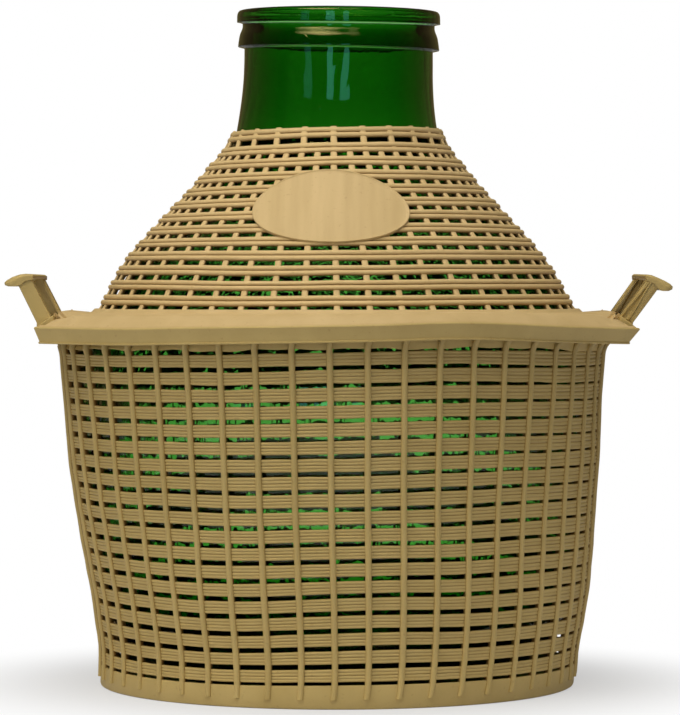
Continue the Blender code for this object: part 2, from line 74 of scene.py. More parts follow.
# How far the soft basket stands up (or sags, below nought) from its true shape, along its front,
# in millimetres: a row for each height, a column for each place along X
SAG_PLACES = (-197, -139, -105, -63, -17, 30, 75, 114, 150, 197)
SAG_ROWS = (
    (0, (0.0, 0.0, 0.0, 0.0, 0.0, 0.0, 0.0, 0.0, 0.0, 0.0)),
    (21, (-1.4, -1.6, -1.6, -1.2, 0.0, 0.6, 0.6, 0.5, 0.4, 0.3)),
    (46, (-1.5, -1.7, -2.4, -1.9, 0.7, 1.7, 1.0, 0.9, 0.7, 0.5)),
    (70, (-0.9, -0.9, -1.5, -1.5, 0.9, 2.2, 1.4, 1.7, 1.4, 1.0)),
    (95, (-0.6, -0.4, -0.5, -0.4, 1.3, 2.0, 2.0, 2.8, 2.4, 1.6)),
    (126, (-0.8, -0.6, -0.1, -0.2, 1.2, 1.8, 2.7, 3.3, 2.9, 1.8)),
    (169, (-1.0, -0.7, -0.2, 0.5, 1.2, 2.3, 3.0, 2.4, 2.0, 1.2)),
    (212, (-1.3, -0.9, -0.3, 0.1, 1.5, 2.2, 2.8, 2.1, 1.2, -0.5)),
    (235, (-1.7, -2.0, -1.0, -0.1, 0.6, 1.4, 2.7, 1.5, -0.6, -2.8)),
)

# How far its front stands to the right of its true shape, in the same way
SLIDE_PLACES = (-172, -150, -125, -98, -65, -27, 18, 62, 98, 127, 150, 172)
SLIDE_ROWS = (
    (0, (0.0, 0.0, 0.0, 0.0, 0.0, 0.0, 0.0, 0.0, 0.0, 0.0, 0.0, 0.0)),
    (14, (0.5, 0.6, 0.8, 0.3, 0.4, 1.0, 1.5, 2.6, 2.6, 2.2, 1.6, 1.2)),
    (29, (1.3, 0.9, 0.8, 0.4, 0.2, 1.4, 2.0, 3.8, 4.0, 3.7, 3.0, 2.7)),
    (41, (0.9, 0.9, 0.9, 0.0, 0.0, 1.2, 1.9, 3.8, 3.9, 3.7, 3.6, 4.4)),
    (62, (1.6, 1.5, 0.8, -0.3, -0.6, 0.9, 1.5, 3.0, 3.0, 2.6, 2.8, 4.8)),
    (83, (0.5, 1.0, 0.5, -0.5, -0.6, 0.4, 0.6, 2.0, 1.5, 0.6, 1.0, 2.9)),
    (105, (-1.1, 0.0, -0.2, -0.3, -0.4, -0.1, 0.0, 0.9, 0.3, -0.8, -0.2, 0.8)),
    (126, (-2.7, -1.7, -1.0, -1.0, -0.8, -0.6, -0.2, 0.2, -0.4, -1.3, -1.0, 0.0)),
    (148, (-4.3, -2.3, -1.5, -1.2, -1.0, -0.5, -0.4, -0.2, -0.5, -1.4, -1.2, -0.4)),
    (169, (-4.5, -2.5, -1.8, -1.4, -1.0, -0.6, -0.4, -0.4, -0.4, -1.2, -1.5, -1.6)),
    (192, (-4.9, -3.1, -2.2, -1.5, -0.9, -0.9, -0.6, -0.8, -0.5, -0.7, -1.1, -2.4)),
    (211, (-5.2, -3.7, -2.6, -1.8, -1.3, -1.4, -1.0, -1.1, -1.1, -1.1, -1.4, -2.5)),
    (224, (-5.2, -3.9, -2.8, -2.0, -1.5, -1.5, -1.2, -1.2, -1.2, -1.2, -1.6, -2.6)),
    (233, (0.0, 0.0, 0.0, 0.0, 0.0, 0.0, 0.0, 0.0, 0.0, 0.0, 0.0, 0.0)),
)

# How far the cover's net stands proud of its true cone, to the right of it and up, by height
COVER_HEIGHTS = (247, 256, 266, 290, 320, 345, 360, 372)
COVER_PROUD = (0.0, 0.3, 1.0, 1.6, 1.7, 1.4, 0.5, 0.0)
COVER_ASIDE = (0.0, -0.2, -0.6, -1.1, -1.2, -0.8, -0.3, 0.0)

# How far its front stands up from the cone, as for the basket
LIFT_PLACES = (-125, -96, -68, -44, -21, -1, 18, 36, 52, 68, 90, 120)
LIFT_ROWS = (
    (247, (0.0, 0.0, 0.0, 0.0, 0.0, 0.0, 0.0, 0.0, 0.0, 0.0, 0.0, 0.0)),
    (252, (0.4, 0.0, -0.2, 0.0, 0.0, 0.2, 0.2, 0.2, 0.2, 0.5, 0.7, 0.7)),
    (261, (0.6, 0.0, -0.3, -0.3, -0.1, 0.0, 0.0, 0.0, 0.2, 0.5, 0.6, 0.8)),
    (271, (-0.1, -0.4, -1.0, -1.1, -1.1, -0.6, -0.6, -0.4, -0.1, 0.3, 0.3, 0.4)),
    (280, (-0.4, -0.5, -1.0, -1.2, -1.0, -1.0, -1.0, -0.9, -0.4, -0.3, -0.3, 0.0)),
    (289, (-0.5, -0.7, -0.7, -0.7, -0.7, -0.5, -0.6, -0.4, -0.1, 0.0, 0.0, 0.0)),
    (297, (-1.4, -1.1, -1.0, -0.8, -0.9, -1.0, -0.9, -0.8, -0.4, -0.2, -0.2, -0.3)),
    (306, (-1.4, -1.4, -1.2, -1.0, -0.9, -0.8, -0.6, -0.4, -0.3, -0.2, -0.2, -0.4)),
    (323, (-1.5, -1.5, -1.1, -0.8, -0.5, -0.5, -0.4, -0.3, -0.1, 0.0, 0.3, 0.3)),
    (341, (-1.9, -1.9, -1.7, -1.3, -0.9, -0.2, -0.1, 0.0, 0.0, 0.0, -0.1, -0.1)),
    (350, (-1.8, -1.8, -1.8, -1.6, -1.1, -0.5, -0.2, -0.1, -0.1, -0.2, -0.3, -0.3)),
    (360, (-2.1, -2.1, -2.0, -1.8, -1.2, -0.8, -0.6, 0.0, 0.0, -0.2, -0.3, -0.3)),
    (372, (-1.9, -1.9, -1.8, -1.7, -1.5, -1.2, -0.9, -0.4, -0.1, 0.0, 0.0, 0.0)),
)

# How far its bars are turned to the left, in thousandths of a radian, by height and by the sine
# of their turn from the front, in thousandths
TWIST_PLACES = (-900, -750, -600, -350, 0, 250, 500, 750, 900)
TWIST_ROWS = (
    (256, (12, 6, 2, -1, -1, -1, -1, 0, 0)),
    (275, (-13, -8, -5, -4, -2, 0, 5, 14, 22)),
    (330, (10, 12, 15, 12, 9, 7, 8, 14, 24)),
    (357, (29, 31, 31, 27, 19, 14.5, 12.5, 13, 27)),
    (366, (70, 66, 60, 44, 29, 19, 12, 8, 8)),
)


def length_property(name, description, default):
    return FloatProperty(name=name, description=description, default=default, unit="LENGTH", precision=4)


def colour_property(name, description, default):
    return FloatVectorProperty(
        name=name, description=description, default=default, subtype="COLOR", min=0, max=1
    )


class DEMIJOHN_PG_glass(bpy.types.PropertyGroup):
    """Sizes and colour of the bottle."""

    height: length_property("Height", "Height of the lip over the floor", 0.448)
    wall: length_property("Wall", "Thickness of the glass in the neck", 0.0044)
    belly: length_property("Belly wall", "Thickness of the glass in the belly, where it was blown thin", 0.002)
    sides: IntProperty(name="Sides", description="Facets round the bottle", default=160, min=24)
    tint: colour_property("Tint", "Colour of light that gets through the glass", (0.15, 0.625, 0.02))
    depth: FloatProperty(name="Depth", description="How fast the glass takes up light, per metre", default=800, min=0)


class DEMIJOHN_PG_net(bpy.types.PropertyGroup):
    """Sizes of the slats, ribs, strands and bars."""

    uprights: IntProperty(name="Uprights", description="Ribs round the basket, and bars round the cover", default=48)
    sides: IntProperty(name="Sides", description="Facets round a slat", default=192, min=48)
    basket_rows: IntProperty(name="Slats", description="Slats of the basket over its bottom band", default=19)
    basket_pitch: length_property("Slat pitch", "Height from one slat to the next", 0.011)
    basket_gap: length_property("Slat gap", "Height of a gap between slats", 0.0032)
    basket_first: length_property("First gap", "Height of the middle of the lowest gap", 0.0153)
    rib_width: length_property("Rib width", "Width of a rib of the basket", 0.0040)
    rib_proud: length_property("Rib height", "How far a rib stands out from the slats", 0.002)
    cover_rows: IntProperty(name="Bands", description="Bands of the cover's net", default=13)
    cover_pitch: length_property("Band pitch", "Distance from one band to the next, up the slope", 0.01158)
    cover_gap: length_property("Band gap", "Width of a gap between bands", 0.0039)
    cover_band: length_property("Plain band", "Width of the plain band at the cone's foot", 0.0047)
    bar_width: length_property("Bar width", "Width of an upright bar of the cover", 0.0042)
    wobble: length_property("Wobble", "How far the soft moulding strays from its true shape", 0.0009)
    fray: FloatProperty(name="Fray", description="Unevenness of the edges of the slats", default=0.55, min=0)


class DEMIJOHN_PG_plastic(bpy.types.PropertyGroup):
    """Colours of the plastic."""

    tan: colour_property("Tan", "Main colour of the cover", (0.50, 0.352, 0.152))
    pale: colour_property("Pale", "Colour of its paler streaks", (0.61, 0.44, 0.21))
    # The basket's tan has less blue than the cover's: partly its own tone, partly painted shade and green light
    # bounced from the glass
    basket: colour_property("Basket", "Main colour of the basket", (0.462, 0.332, 0.115))
    basket_pale: colour_property("Basket, pale", "Colour of its paler streaks", (0.56, 0.415, 0.16))
    # Painted shade: this dark brown goes into the grooves, gaps and hidden sides by depth, and also colours the dirt
    # specks
    groove: colour_property("Groove", "Colour in the grooves and corners", (0.24, 0.125, 0.028))


class DEMIJOHN_PG_stage(bpy.types.PropertyGroup):
    """Camera and light."""

    distance: length_property("Distance", "From the camera to the bottle's axis", 2.38)
    eye_height: length_property("Eye height", "Height of the camera over the floor", 0.262)
    focal: FloatProperty(name="Focal length", description="In frame widths", default=5.25)
    sky: FloatProperty(name="Sky", description="Strength of the even light from all round", default=0.21)


# Node trees


class Tree:
    """A node tree that is built one node at a time."""

    def __init__(self, tree):
        self.tree = tree

    def add(self, kind, inputs=None, **settings):
        node = self.tree.nodes.new(kind)
        for name, value in settings.items():
            setattr(node, name, value)
        for key, value in (inputs or {}).items():
            self.feed(node.inputs[key], value)
        return node

    def feed(self, socket, value):
        if isinstance(value, bpy.types.NodeSocket):
            self.tree.links.new(value, socket)
        elif isinstance(value, bpy.types.Node):
            self.tree.links.new(next(out for out in value.outputs if out.enabled), socket)
        else:
            socket.default_value = value

    def math(self, operation, *values):
        node = self.add("ShaderNodeMath", operation=operation)
        for socket, value in zip(node.inputs, values):
            self.feed(socket, value)
        return node.outputs[0]

    def plus(self, *terms):
        return reduce(lambda total, term: self.math("ADD", total, term), terms)

    def minus(self, first, second):
        return self.math("SUBTRACT", first, second)

    def times(self, *factors):
        return reduce(lambda product, factor: self.math("MULTIPLY", product, factor), factors)

    def ranged(self, value, start, end, low=0.0, high=1.0, **settings):
        """The value's run from start to end, brought to low to high and held there beyond it."""
        inputs = {"Value": value, "From Min": start, "From Max": end, "To Min": low, "To Max": high}
        return self.add("ShaderNodeMapRange", inputs, **settings).outputs[0]

    def vector(self, x=0.0, y=0.0, z=0.0):
        return self.add("ShaderNodeCombineXYZ", {"X": x, "Y": y, "Z": z}).outputs[0]

    def axes(self, vector):
        """The vector's X, Y and Z."""
        return self.add("ShaderNodeSeparateXYZ", {"Vector": vector}).outputs

    def mixed(self, share, first, second):
        """The first colour, and the second by its share."""
        node = self.add("ShaderNodeMix", {"Factor": share}, data_type="RGBA")
        self.feed(node.inputs["A"], first)
        self.feed(node.inputs["B"], second)
        return node.outputs["Result"]

    def noise(self, vector, scale, detail=2.0, roughness=0.5):
        """Noise about nought, from -0.5 to 0.5."""
        inputs = {"Vector": vector, "Scale": scale, "Detail": detail, "Roughness": roughness}
        return self.minus(self.add("ShaderNodeTexNoise", inputs).outputs[0], 0.5)

    def specks(self, vector, scale, start, end):
        """Spots where fine noise from 0 to 1 rises from start to end."""
        inputs = {"Vector": vector, "Scale": scale, "Detail": 1.0}
        return self.ranged(self.add("ShaderNodeTexNoise", inputs).outputs[0], start, end)


def new_geometry_tree(name, sockets):
    """A geometry tree with these inputs, and the nodes at its two ends."""
    tree = bpy.data.node_groups.new(name, "GeometryNodeTree")
    for label, kind in sockets:
        tree.interface.new_socket(name=label, in_out="INPUT", socket_type="NodeSocket" + kind)
    tree.interface.new_socket(name="Geometry", in_out="OUTPUT", socket_type="NodeSocketGeometry")
    made = Tree(tree)
    start = made.add("NodeGroupInput")
    end = made.add("NodeGroupOutput")
    return made, start, end


def store(made, geometry, name, value, domain="POINT"):
    inputs = {"Geometry": geometry, "Name": name, "Value": value}
    return made.add("GeometryNodeStoreNamedAttribute", inputs, domain=domain, data_type="FLOAT")


def wrap_tree():
    """Lays geometry on a wall, from its attributes turn, across, rise and out, and from local, the
    height over a slat's middle, where it has one."""
    sockets = (("Geometry", "Geometry"), ("Wall", "Object"), ("Wobble", "Float"), ("Fray", "Float"))
    made, start, end = new_geometry_tree("Lay on wall", sockets + (("Material", "Material"),))
    turn, across, rise, out, local = (
        made.add("GeometryNodeInputNamedAttribute", {"Name": name}, data_type="FLOAT").outputs[0]
        for name in ("turn", "across", "rise", "out", "local")
    )
    cosine, sine = made.math("COSINE", turn), made.math("SINE", turn)
    wobble = start.outputs["Wobble"]
    place = made.vector(cosine, sine, made.times(rise, 9))
    lift = made.times(wobble, made.noise(place, 3.0))
    sway = made.times(made.noise(place, 1.7), made.times(wobble, 1.5))
    across = made.plus(across, sway)
    place = made.vector(sine, made.times(rise, 7), cosine)
    proud = made.plus(out, made.times(wobble, made.noise(place, 4.0)))

    # The edges of a slat are uneven, more so towards the basket's rim
    place = made.vector(made.times(cosine, 8), made.times(sine, 8), made.times(rise, 200))
    broad = made.times(made.math("COSINE", made.plus(turn, 0.6)), 0.16)
    uneven = made.plus(made.noise(place, 1.0, 3.0, 0.6), made.plus(broad, 0.06))
    fray = made.times(uneven, made.ranged(rise, 0.05, 0.22, low=0.3), start.outputs["Fray"])
    risen = made.plus(rise, lift, made.times(local, fray))

    inputs = {"Curves": shape_of(made, start, "Wall"), "Length": risen}
    sample = made.add("GeometryNodeSampleCurve", inputs, mode="LENGTH", use_all_curves=False)
    radius, _, height = made.axes(sample.outputs["Position"])
    outward, _, upward = made.axes(sample.outputs["Tangent"])
    radius = made.plus(radius, made.times(upward, proud))
    height = made.minus(height, made.times(outward, proud))
    east = made.minus(made.times(radius, cosine), made.times(across, sine))
    north = made.plus(made.times(radius, sine), made.times(across, cosine))
    inputs = {"Geometry": start.outputs["Geometry"], "Position": made.vector(east, north, height)}
    smooth = made.add("GeometryNodeSetShadeSmooth", {"Geometry": made.add("GeometryNodeSetPosition", inputs)})
    inputs = {"Geometry": smooth, "Material": start.outputs["Material"]}
    made.feed(end.inputs[0], made.add("GeometryNodeSetMaterial", inputs))
    return made.tree


def wrap(made, start, geometry, wrapper):
    group = made.add("GeometryNodeGroup", node_tree=wrapper)
    made.feed(group.inputs["Geometry"], geometry)
    for name in ("Wall", "Wobble", "Fray", "Material"):
        made.feed(group.inputs[name], start.outputs[name])
    return group.outputs[0]


def shape_of(made, start, name):
    """The shape of the object that an input names."""
    return made.add("GeometryNodeObjectInfo", {"Object": start.outputs[name]}).outputs["Geometry"]


def repeated(made, start, shape, axis):
    """Copies of the shape on points along an axis, and the points where they stand."""
    first, step = (made.vector(**{axis: start.outputs[name]}) for name in ("First", "Step"))
    inputs = {"Count": start.outputs["Count"], "Start Location": first, "Offset": step}
    points = made.add("GeometryNodeMeshLine", inputs)
    if axis == "x":
        # Turns about the wall, kept as a number, and all of the copies made at one place
        where = made.axes(made.add("GeometryNodeInputPosition"))
        points = store(made, points, "turn", where["X"])
        points = made.add("GeometryNodeSetPosition", {"Geometry": points, "Position": (0, 0, 0)})
    copies = made.add("GeometryNodeInstanceOnPoints", {"Points": points, "Instance": shape})
    return made.add("GeometryNodeRealizeInstances", {"Geometry": copies})


NET_SOCKETS = (
    ("Geometry", "Geometry"), ("Wall", "Object"), ("Section", "Object"), ("Count", "Int"),
    ("First", "Float"), ("Step", "Float"), ("Wobble", "Float"), ("Fray", "Float"), ("Material", "Material"),
)


def ring_tree(wrapper):
    """Rings with one section, a step apart up the wall."""
    made, start, end = new_geometry_tree("Rings up a wall", NET_SOCKETS + (("Sides", "Int"),))
    circle = made.add("GeometryNodeCurvePrimitiveCircle", {"Resolution": start.outputs["Sides"], "Radius": 1.0})
    inputs = {"Curve": circle, "Profile Curve": shape_of(made, start, "Section")}
    ring = made.add("GeometryNodeCurveToMesh", inputs)
    ring = store(made, ring, "local", made.axes(made.add("GeometryNodeInputPosition"))["Z"])
    rings = repeated(made, start, ring, "z")
    east, north, up = made.axes(made.add("GeometryNodeInputPosition"))
    reach = made.math("SQRT", made.plus(made.math("POWER", east, 2), made.math("POWER", north, 2)))
    rings = store(made, rings, "turn", made.math("ARCTAN2", north, east))
    rings = store(made, rings, "across", 0.0)
    rings = store(made, rings, "rise", up)
    rings = store(made, rings, "out", made.minus(reach, 1.0))
    made.feed(end.inputs[0], wrap(made, start, rings, wrapper))
    return made.tree


def upright_tree(wrapper):
    """Copies of a path with one section, a step apart round the wall."""
    made, start, end = new_geometry_tree("Uprights round a wall", NET_SOCKETS + (("Path", "Object"),))
    path, section = (shape_of(made, start, name) for name in ("Path", "Section"))
    inputs = {"Curve": path, "Profile Curve": section, "Fill Caps": True}
    bar = made.add("GeometryNodeCurveToMesh", inputs)
    where = made.axes(made.add("GeometryNodeInputPosition"))
    for name, axis in (("out", "X"), ("across", "Y"), ("rise", "Z")):
        bar = store(made, bar, name, where[axis])
    made.feed(end.inputs[0], wrap(made, start, repeated(made, start, bar, "x"), wrapper))
    return made.tree


def new_object(name, data):
    obj = bpy.data.objects.new(name, data)
    bpy.context.scene.collection.objects.link(obj)
    return obj


def finish_modifier(obj, modifier):
    """The object gets the modifier's result as a plain mesh."""
    bpy.context.view_layer.update()
    made = bpy.data.meshes.new_from_object(obj.evaluated_get(bpy.context.evaluated_depsgraph_get()))
    obj.modifiers.remove(modifier)
    obj.data = made


def run_tree(name, tree, values):
    """The tree's result as a plain mesh object."""
    maker = new_object(name, bpy.data.meshes.new(name))
    modifier = maker.modifiers.new("Net", "NODES")
    modifier.node_group = tree
    for item in tree.interface.items_tree:
        if item.in_out == "INPUT" and item.name in values:
            modifier[item.identifier] = values[item.name]
    finish_modifier(maker, modifier)
    maker.data.name = name
    tidy_mesh(maker.data)
    return maker


def smooth_step(value, start, end):
    share = np.clip((value - start) / (end - start), 0, 1)
    return share * share * (3 - 2 * share)


def read_table(places, table, x, z):
    """The table's value at each point, in thousandths, smooth along X and in height."""
    rows = []
    for height, row in table:
        line = smooth_line(list(zip(places, row)), 8)
        rows.append(np.interp(x / MM, [point.x for point in line], [point.y for point in line]))
    heights = np.array([height * MM for height, row in table])
    low = np.clip(np.searchsorted(heights, z) - 1, 0, len(heights) - 2)
    share = smooth_step(z, heights[low], heights[low + 1])
    rows, which = np.array(rows), np.arange(len(x))
    return (rows[low, which] * (1 - share) + rows[low + 1, which] * share) * MM


def spots_of(obj):
    flat = np.empty(len(obj.data.vertices) * 3)
    obj.data.vertices.foreach_get("co", flat)
    return flat.reshape(-1, 3)


def move_spots(obj, spots):
    obj.data.vertices.foreach_set("co", np.ascontiguousarray(spots).ravel())
    obj.data.update()
    return obj


def let_sag(obj, full=0.0, none=-1.0, slide=0.0):
    """Bends the piece as the basket has bent: upright fully outside one radius and not at all
    inside the other, and sideways inside the radius slide."""
    spots = spots_of(obj)
    x, y, z = spots.T.copy()
    radius = np.hypot(x, y)
    # The share of the front's bend is 1 at the front, and 0.3 and 0.5 at the back
    upright, sideways = 0.65 - 0.35 * y / WALL_RADIUS, 0.75 - 0.25 * y / WALL_RADIUS
    reach = np.clip((radius - none) / (full - none), 0, 1)
    spots[:, 2] += read_table(SAG_PLACES, SAG_ROWS, x, z) * upright * reach
    spots[:, 0] += read_table(SLIDE_PLACES, SLIDE_ROWS, x, z) * sideways * (radius < slide)
    return move_spots(obj, spots)


def let_lean(obj):
    """Bends a piece of the cover's net as the cover has bent."""
    spots = spots_of(obj)
    x, y, z = spots.T.copy()
    radius = np.hypot(x, y)
    heights = np.array(COVER_HEIGHTS) * MM
    proud, aside = (np.interp(z, heights, row) * MM for row in (COVER_PROUD, COVER_ASIDE))
    front = smooth_step(-y / radius, -0.6, 0.3)
    turn = np.arctan2(y, x) - read_table(TWIST_PLACES, TWIST_ROWS, x / radius, z) * front
    spots[:, 0] = (radius + proud) * np.cos(turn) + aside
    spots[:, 1] = (radius + proud) * np.sin(turn)
    spots[:, 2] += read_table(LIFT_PLACES, LIFT_ROWS, x, z) * (0.4 + 0.6 * front)
    return move_spots(obj, spots)


def tidy_mesh(mesh, merge=1e-6):
    """Closes seams and turns every face outwards."""
    bm = bmesh.new()
    bm.from_mesh(mesh)
    bmesh.ops.remove_doubles(bm, verts=bm.verts[:], dist=merge)
    bmesh.ops.recalc_face_normals(bm, faces=bm.faces[:])
    bm.to_mesh(mesh)
    bm.free()


def guide_curve(name, points, closed=False, radii=None):
    """A straight-edged curve for a tree to read. It is removed once the net is made."""
    curve = bpy.data.curves.new(name, "CURVE")
    curve.dimensions = "3D"
    spline = curve.splines.new("POLY")
    spline.points.add(len(points) - 1)
    for i, (x, y, z) in enumerate(points):
        spline.points[i].co = (x, y, z, 1)
        spline.points[i].radius = radii[i] if radii else 1
    spline.use_cyclic_u = closed
    return new_object(name, curve)


def remove_objects(objects):
    for obj in objects:
        bpy.data.objects.remove(obj, do_unlink=True)


def smooth_line(points, steps):
    """Points along a smooth curve through the given ones."""
    points = [Vector(point) for point in points]
    ends = [points[0] * 2 - points[1]] + points + [points[-1] * 2 - points[-2]]
    line = [points[0]]
    for before, start, end, after in zip(ends, ends[1:], ends[2:], ends[3:]):
        for i in range(1, steps + 1):
            t = i / steps
            square = 2 * before - 5 * start + 4 * end - after
            cube = 3 * start - before - 3 * end + after
            line.append(0.5 * (2 * start + (end - before) * t + square * t**2 + cube * t**3))
    return line


def in_metres(points):
    return [(first * MM, second * MM) for first, second in points]


def wall_line(profile):
    return smooth_line(in_metres(profile), 12)


def wall_guide(name, profile):
    return guide_curve(name, [(point.x, 0, point.y) for point in wall_line(profile)])


# Materials


def new_material(name):
    material = bpy.data.materials.new(name)
    material.use_nodes = True
    made = Tree(material.node_tree)
    where = made.add("ShaderNodeTexCoord").outputs["Object"]
    return material, made, material.node_tree.nodes["Principled BSDF"], where


def plastic_material(name, streak=(1.0, 1.0, 0.12), painted_shade_depths=None, grain=0.25, flow=1.3, cover=0.0, high=0.84):
    """Tan moulded plastic: pale flow streaks, dirt specks, painted shade in dark brown down in the grooves and gaps,
    a fine grain and a soft shine.
    The cover's colours are its own, times the given share, which paints lighter and darker copies of it. The basket's
    have painted shade, brighter low down and darker high up, as given."""
    colours = bpy.context.scene.demijohn_plastic
    material, made, shader, where = new_material(name)
    stretched = made.add("ShaderNodeMapping", {"Vector": where, "Scale": streak}).outputs[0]
    cloudy = made.noise(stretched, 55.0, 3.0)
    share = made.plus(made.times(cloudy, flow), made.times(made.noise(where, 9.0), 0.9), 0.45)
    pair = (colours.tan, colours.pale) if cover else (colours.basket, colours.basket_pale)
    # Painted light and shade: the cover's pieces get lighter and darker copies of the one plastic by the share
    base = made.mixed(share, *((*(part * (cover or 1.0) for part in colour), 1) for colour in pair))
    # Painted shade: the basket's plastic is brighter low down and darker high up, where the rim shades it
    if not cover:
        painted_height_shade = made.ranged(made.axes(where)["Z"], 0.02, 0.22, low=1.1, high=high)
        base = made.add("ShaderNodeVectorMath", {0: base, "Scale": painted_height_shade}, operation="SCALE").outputs["Vector"]
    # Dirt specks, and where depths are given, painted shade: the groove colour by depth in grooves, gaps and corners
    dirt_and_painted_shade = made.times(made.specks(where, 420.0, 0.66, 0.8), 0.22)
    if painted_shade_depths:
        depth = made.add("ShaderNodeAttribute", attribute_name="out").outputs["Fac"]
        dirt_and_painted_shade = made.math("MAXIMUM", dirt_and_painted_shade, made.ranged(depth, -painted_shade_depths[0], -painted_shade_depths[1], high=0.9))
    made.feed(shader.inputs["Base Color"], made.mixed(dirt_and_painted_shade, base, (*colours.groove, 1)))
    made.feed(shader.inputs["Roughness"], made.plus(made.times(cloudy, 0.18), 0.47))
    shader.inputs["Specular IOR Level"].default_value = 0.4
    inputs = {"Strength": grain, "Distance": 0.0003, "Height": made.noise(where, 700.0)}
    made.feed(shader.inputs["Normal"], made.add("ShaderNodeBump", inputs))
    return material


def glass_material(name):
    """Thick green bottle glass with slow waves, weaker in the neck, and a few seeds."""
    settings = bpy.context.scene.demijohn_glass
    material, made, shader, where = new_material(name)
    stretched = made.add("ShaderNodeMapping", {"Vector": where, "Scale": (1.0, 1.0, 0.25)}).outputs[0]
    waves = made.plus(made.noise(stretched, 34.0), made.times(made.noise(stretched, 95.0), 0.3))
    waves = made.times(waves, made.ranged(made.axes(where)["Z"], 0.37, 0.30, low=0.42))
    height = made.plus(waves, made.times(made.specks(where, 210.0, 0.72, 0.8), 0.05))
    inputs = {"Strength": 1.0, "Distance": 0.0022, "Height": height}
    made.feed(shader.inputs["Normal"], made.add("ShaderNodeBump", inputs))
    shader.inputs["Base Color"].default_value = (1, 1, 1, 1)
    shader.inputs["Roughness"].default_value = 0.02
    shader.inputs["IOR"].default_value = 1.5
    shader.inputs["Transmission Weight"].default_value = 1.0
    inside = made.add("ShaderNodeVolumeAbsorption")
    inside.inputs["Color"].default_value = (*settings.tint, 1)
    inside.inputs["Density"].default_value = settings.depth
    made.feed(made.tree.nodes["Material Output"].inputs["Volume"], inside)
    return material


# Meshes


def mesh_object(name, bm, material, smooth_angle=40):
    bmesh.ops.recalc_face_normals(bm, faces=bm.faces[:])
    mesh = bpy.data.meshes.new(name)
    bm.to_mesh(mesh)
    bm.free()
    mesh.materials.append(material)
    mesh.shade_smooth()
    mesh.set_sharp_from_angle(angle=math.radians(smooth_angle))
    return new_object(name, mesh)


def skin(bm, rings, closed=False):
    """Joins rings of points into a surface: a closed tube, or one with both ends filled."""
    rows = [[bm.verts.new(point) for point in ring] for ring in rings]
    pairs = list(zip(rows, rows[1:]))
    if closed:
        pairs.append((rows[-1], rows[0]))
    else:
        bm.faces.new(rows[0])
        bm.faces.new(rows[-1])
    for low, high in pairs:
        for i in range(len(low)):
            j = (i + 1) % len(low)
            bm.faces.new((low[i], low[j], high[j], high[i]))


def turned(outline, sides):
    """A solid of revolution about Z. Points on the axis become poles."""
    bm = bmesh.new()
    rows = []
    for radius, height in outline:
        if radius < 1e-6:
            rows.append([bm.verts.new((0, 0, height))])
        else:
            angles = [FRONT + TURN * i / sides for i in range(sides)]
            rows.append([bm.verts.new((radius * math.cos(a), radius * math.sin(a), height)) for a in angles])
    pairs = list(zip(rows, rows[1:]))
    if outline[0][0] > 1e-6:
        pairs.append((rows[-1], rows[0]))
    for low, high in pairs:
        for i in range(sides):
            j = (i + 1) % sides
            corners = [low[i % len(low)], low[j % len(low)], high[j % len(high)], high[i % len(high)]]
            corners = list(dict.fromkeys(corners))
            if len(corners) > 2:
                bm.faces.new(corners)
    return bm


def settle(obj, body, slot, *nodes):
    """The finished piece rides on its body and stands for its solids."""
    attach(obj, body)
    if nodes:
        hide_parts(*nodes)
    return obj


def bevelled(obj, width, segments=2, angle=35):
    modifier = obj.modifiers.new("Rounded edges", "BEVEL")
    modifier.width = width
    modifier.segments = segments
    modifier.limit_method = "ANGLE"
    modifier.angle_limit = math.radians(angle)
    modifier.harden_normals = True
    return obj


def united(obj, helper):
    """Joins the helper's solid to the object's."""
    modifier = obj.modifiers.new("Union", "BOOLEAN")
    modifier.operation = "UNION"
    modifier.object = helper
    finish_modifier(obj, modifier)
    remove_objects([helper])
    return obj


# Rim


# Rim, in metres: a circle drawn out to four corners, the ears, beside the handles
RIM_RADIUS = 0.190
EAR_X = 0.1957
EAR_Y = 0.075
RIM_TOP = 0.2395
LEDGE_TOP = 0.2365
CONE_FOOT = 0.247
BORDER = 0.0028  # how far the cover's border stands in from the rim's edge


def rim_reach(angle, inset):
    """The rim's plan, drawn in by the inset: a circle, its tangents and the flat sides."""
    folded = math.atan2(abs(math.sin(angle)), abs(math.cos(angle)))
    tangent = math.atan2(EAR_Y, EAR_X) + math.acos(RIM_RADIUS / math.hypot(EAR_X, EAR_Y))
    radius = RIM_RADIUS - inset
    if folded < tangent:
        radius = min(radius / math.cos(tangent - folded), (EAR_X - inset) / math.cos(folded))
    return radius


def rim_angles():
    """Directions of the rim's points, close together at its corners."""
    corner = math.atan2(EAR_Y, EAR_X)
    side = [corner * (i / 12 - 1) for i in range(24)]
    arc = [corner + (math.pi - 2 * corner) * i / 84 for i in range(84)]
    return [angle + half for half in (0, math.pi) for angle in side + arc]


RIM_ANGLES = rim_angles()


def rim_loops(*section):
    """A loop along the rim for each (inset, height)."""
    loops = []
    for inset, height in section:
        reaches = [(rim_reach(angle, inset), angle) for angle in RIM_ANGLES]
        loops.append([(reach * math.cos(angle), reach * math.sin(angle), height) for reach, angle in reaches])
    return loops


def round_loops(*section):
    """A round loop for each (radius, height)."""
    return [
        [(radius * math.cos(angle), radius * math.sin(angle), height) for angle in RIM_ANGLES]
        for radius, height in section
    ]


# Operators


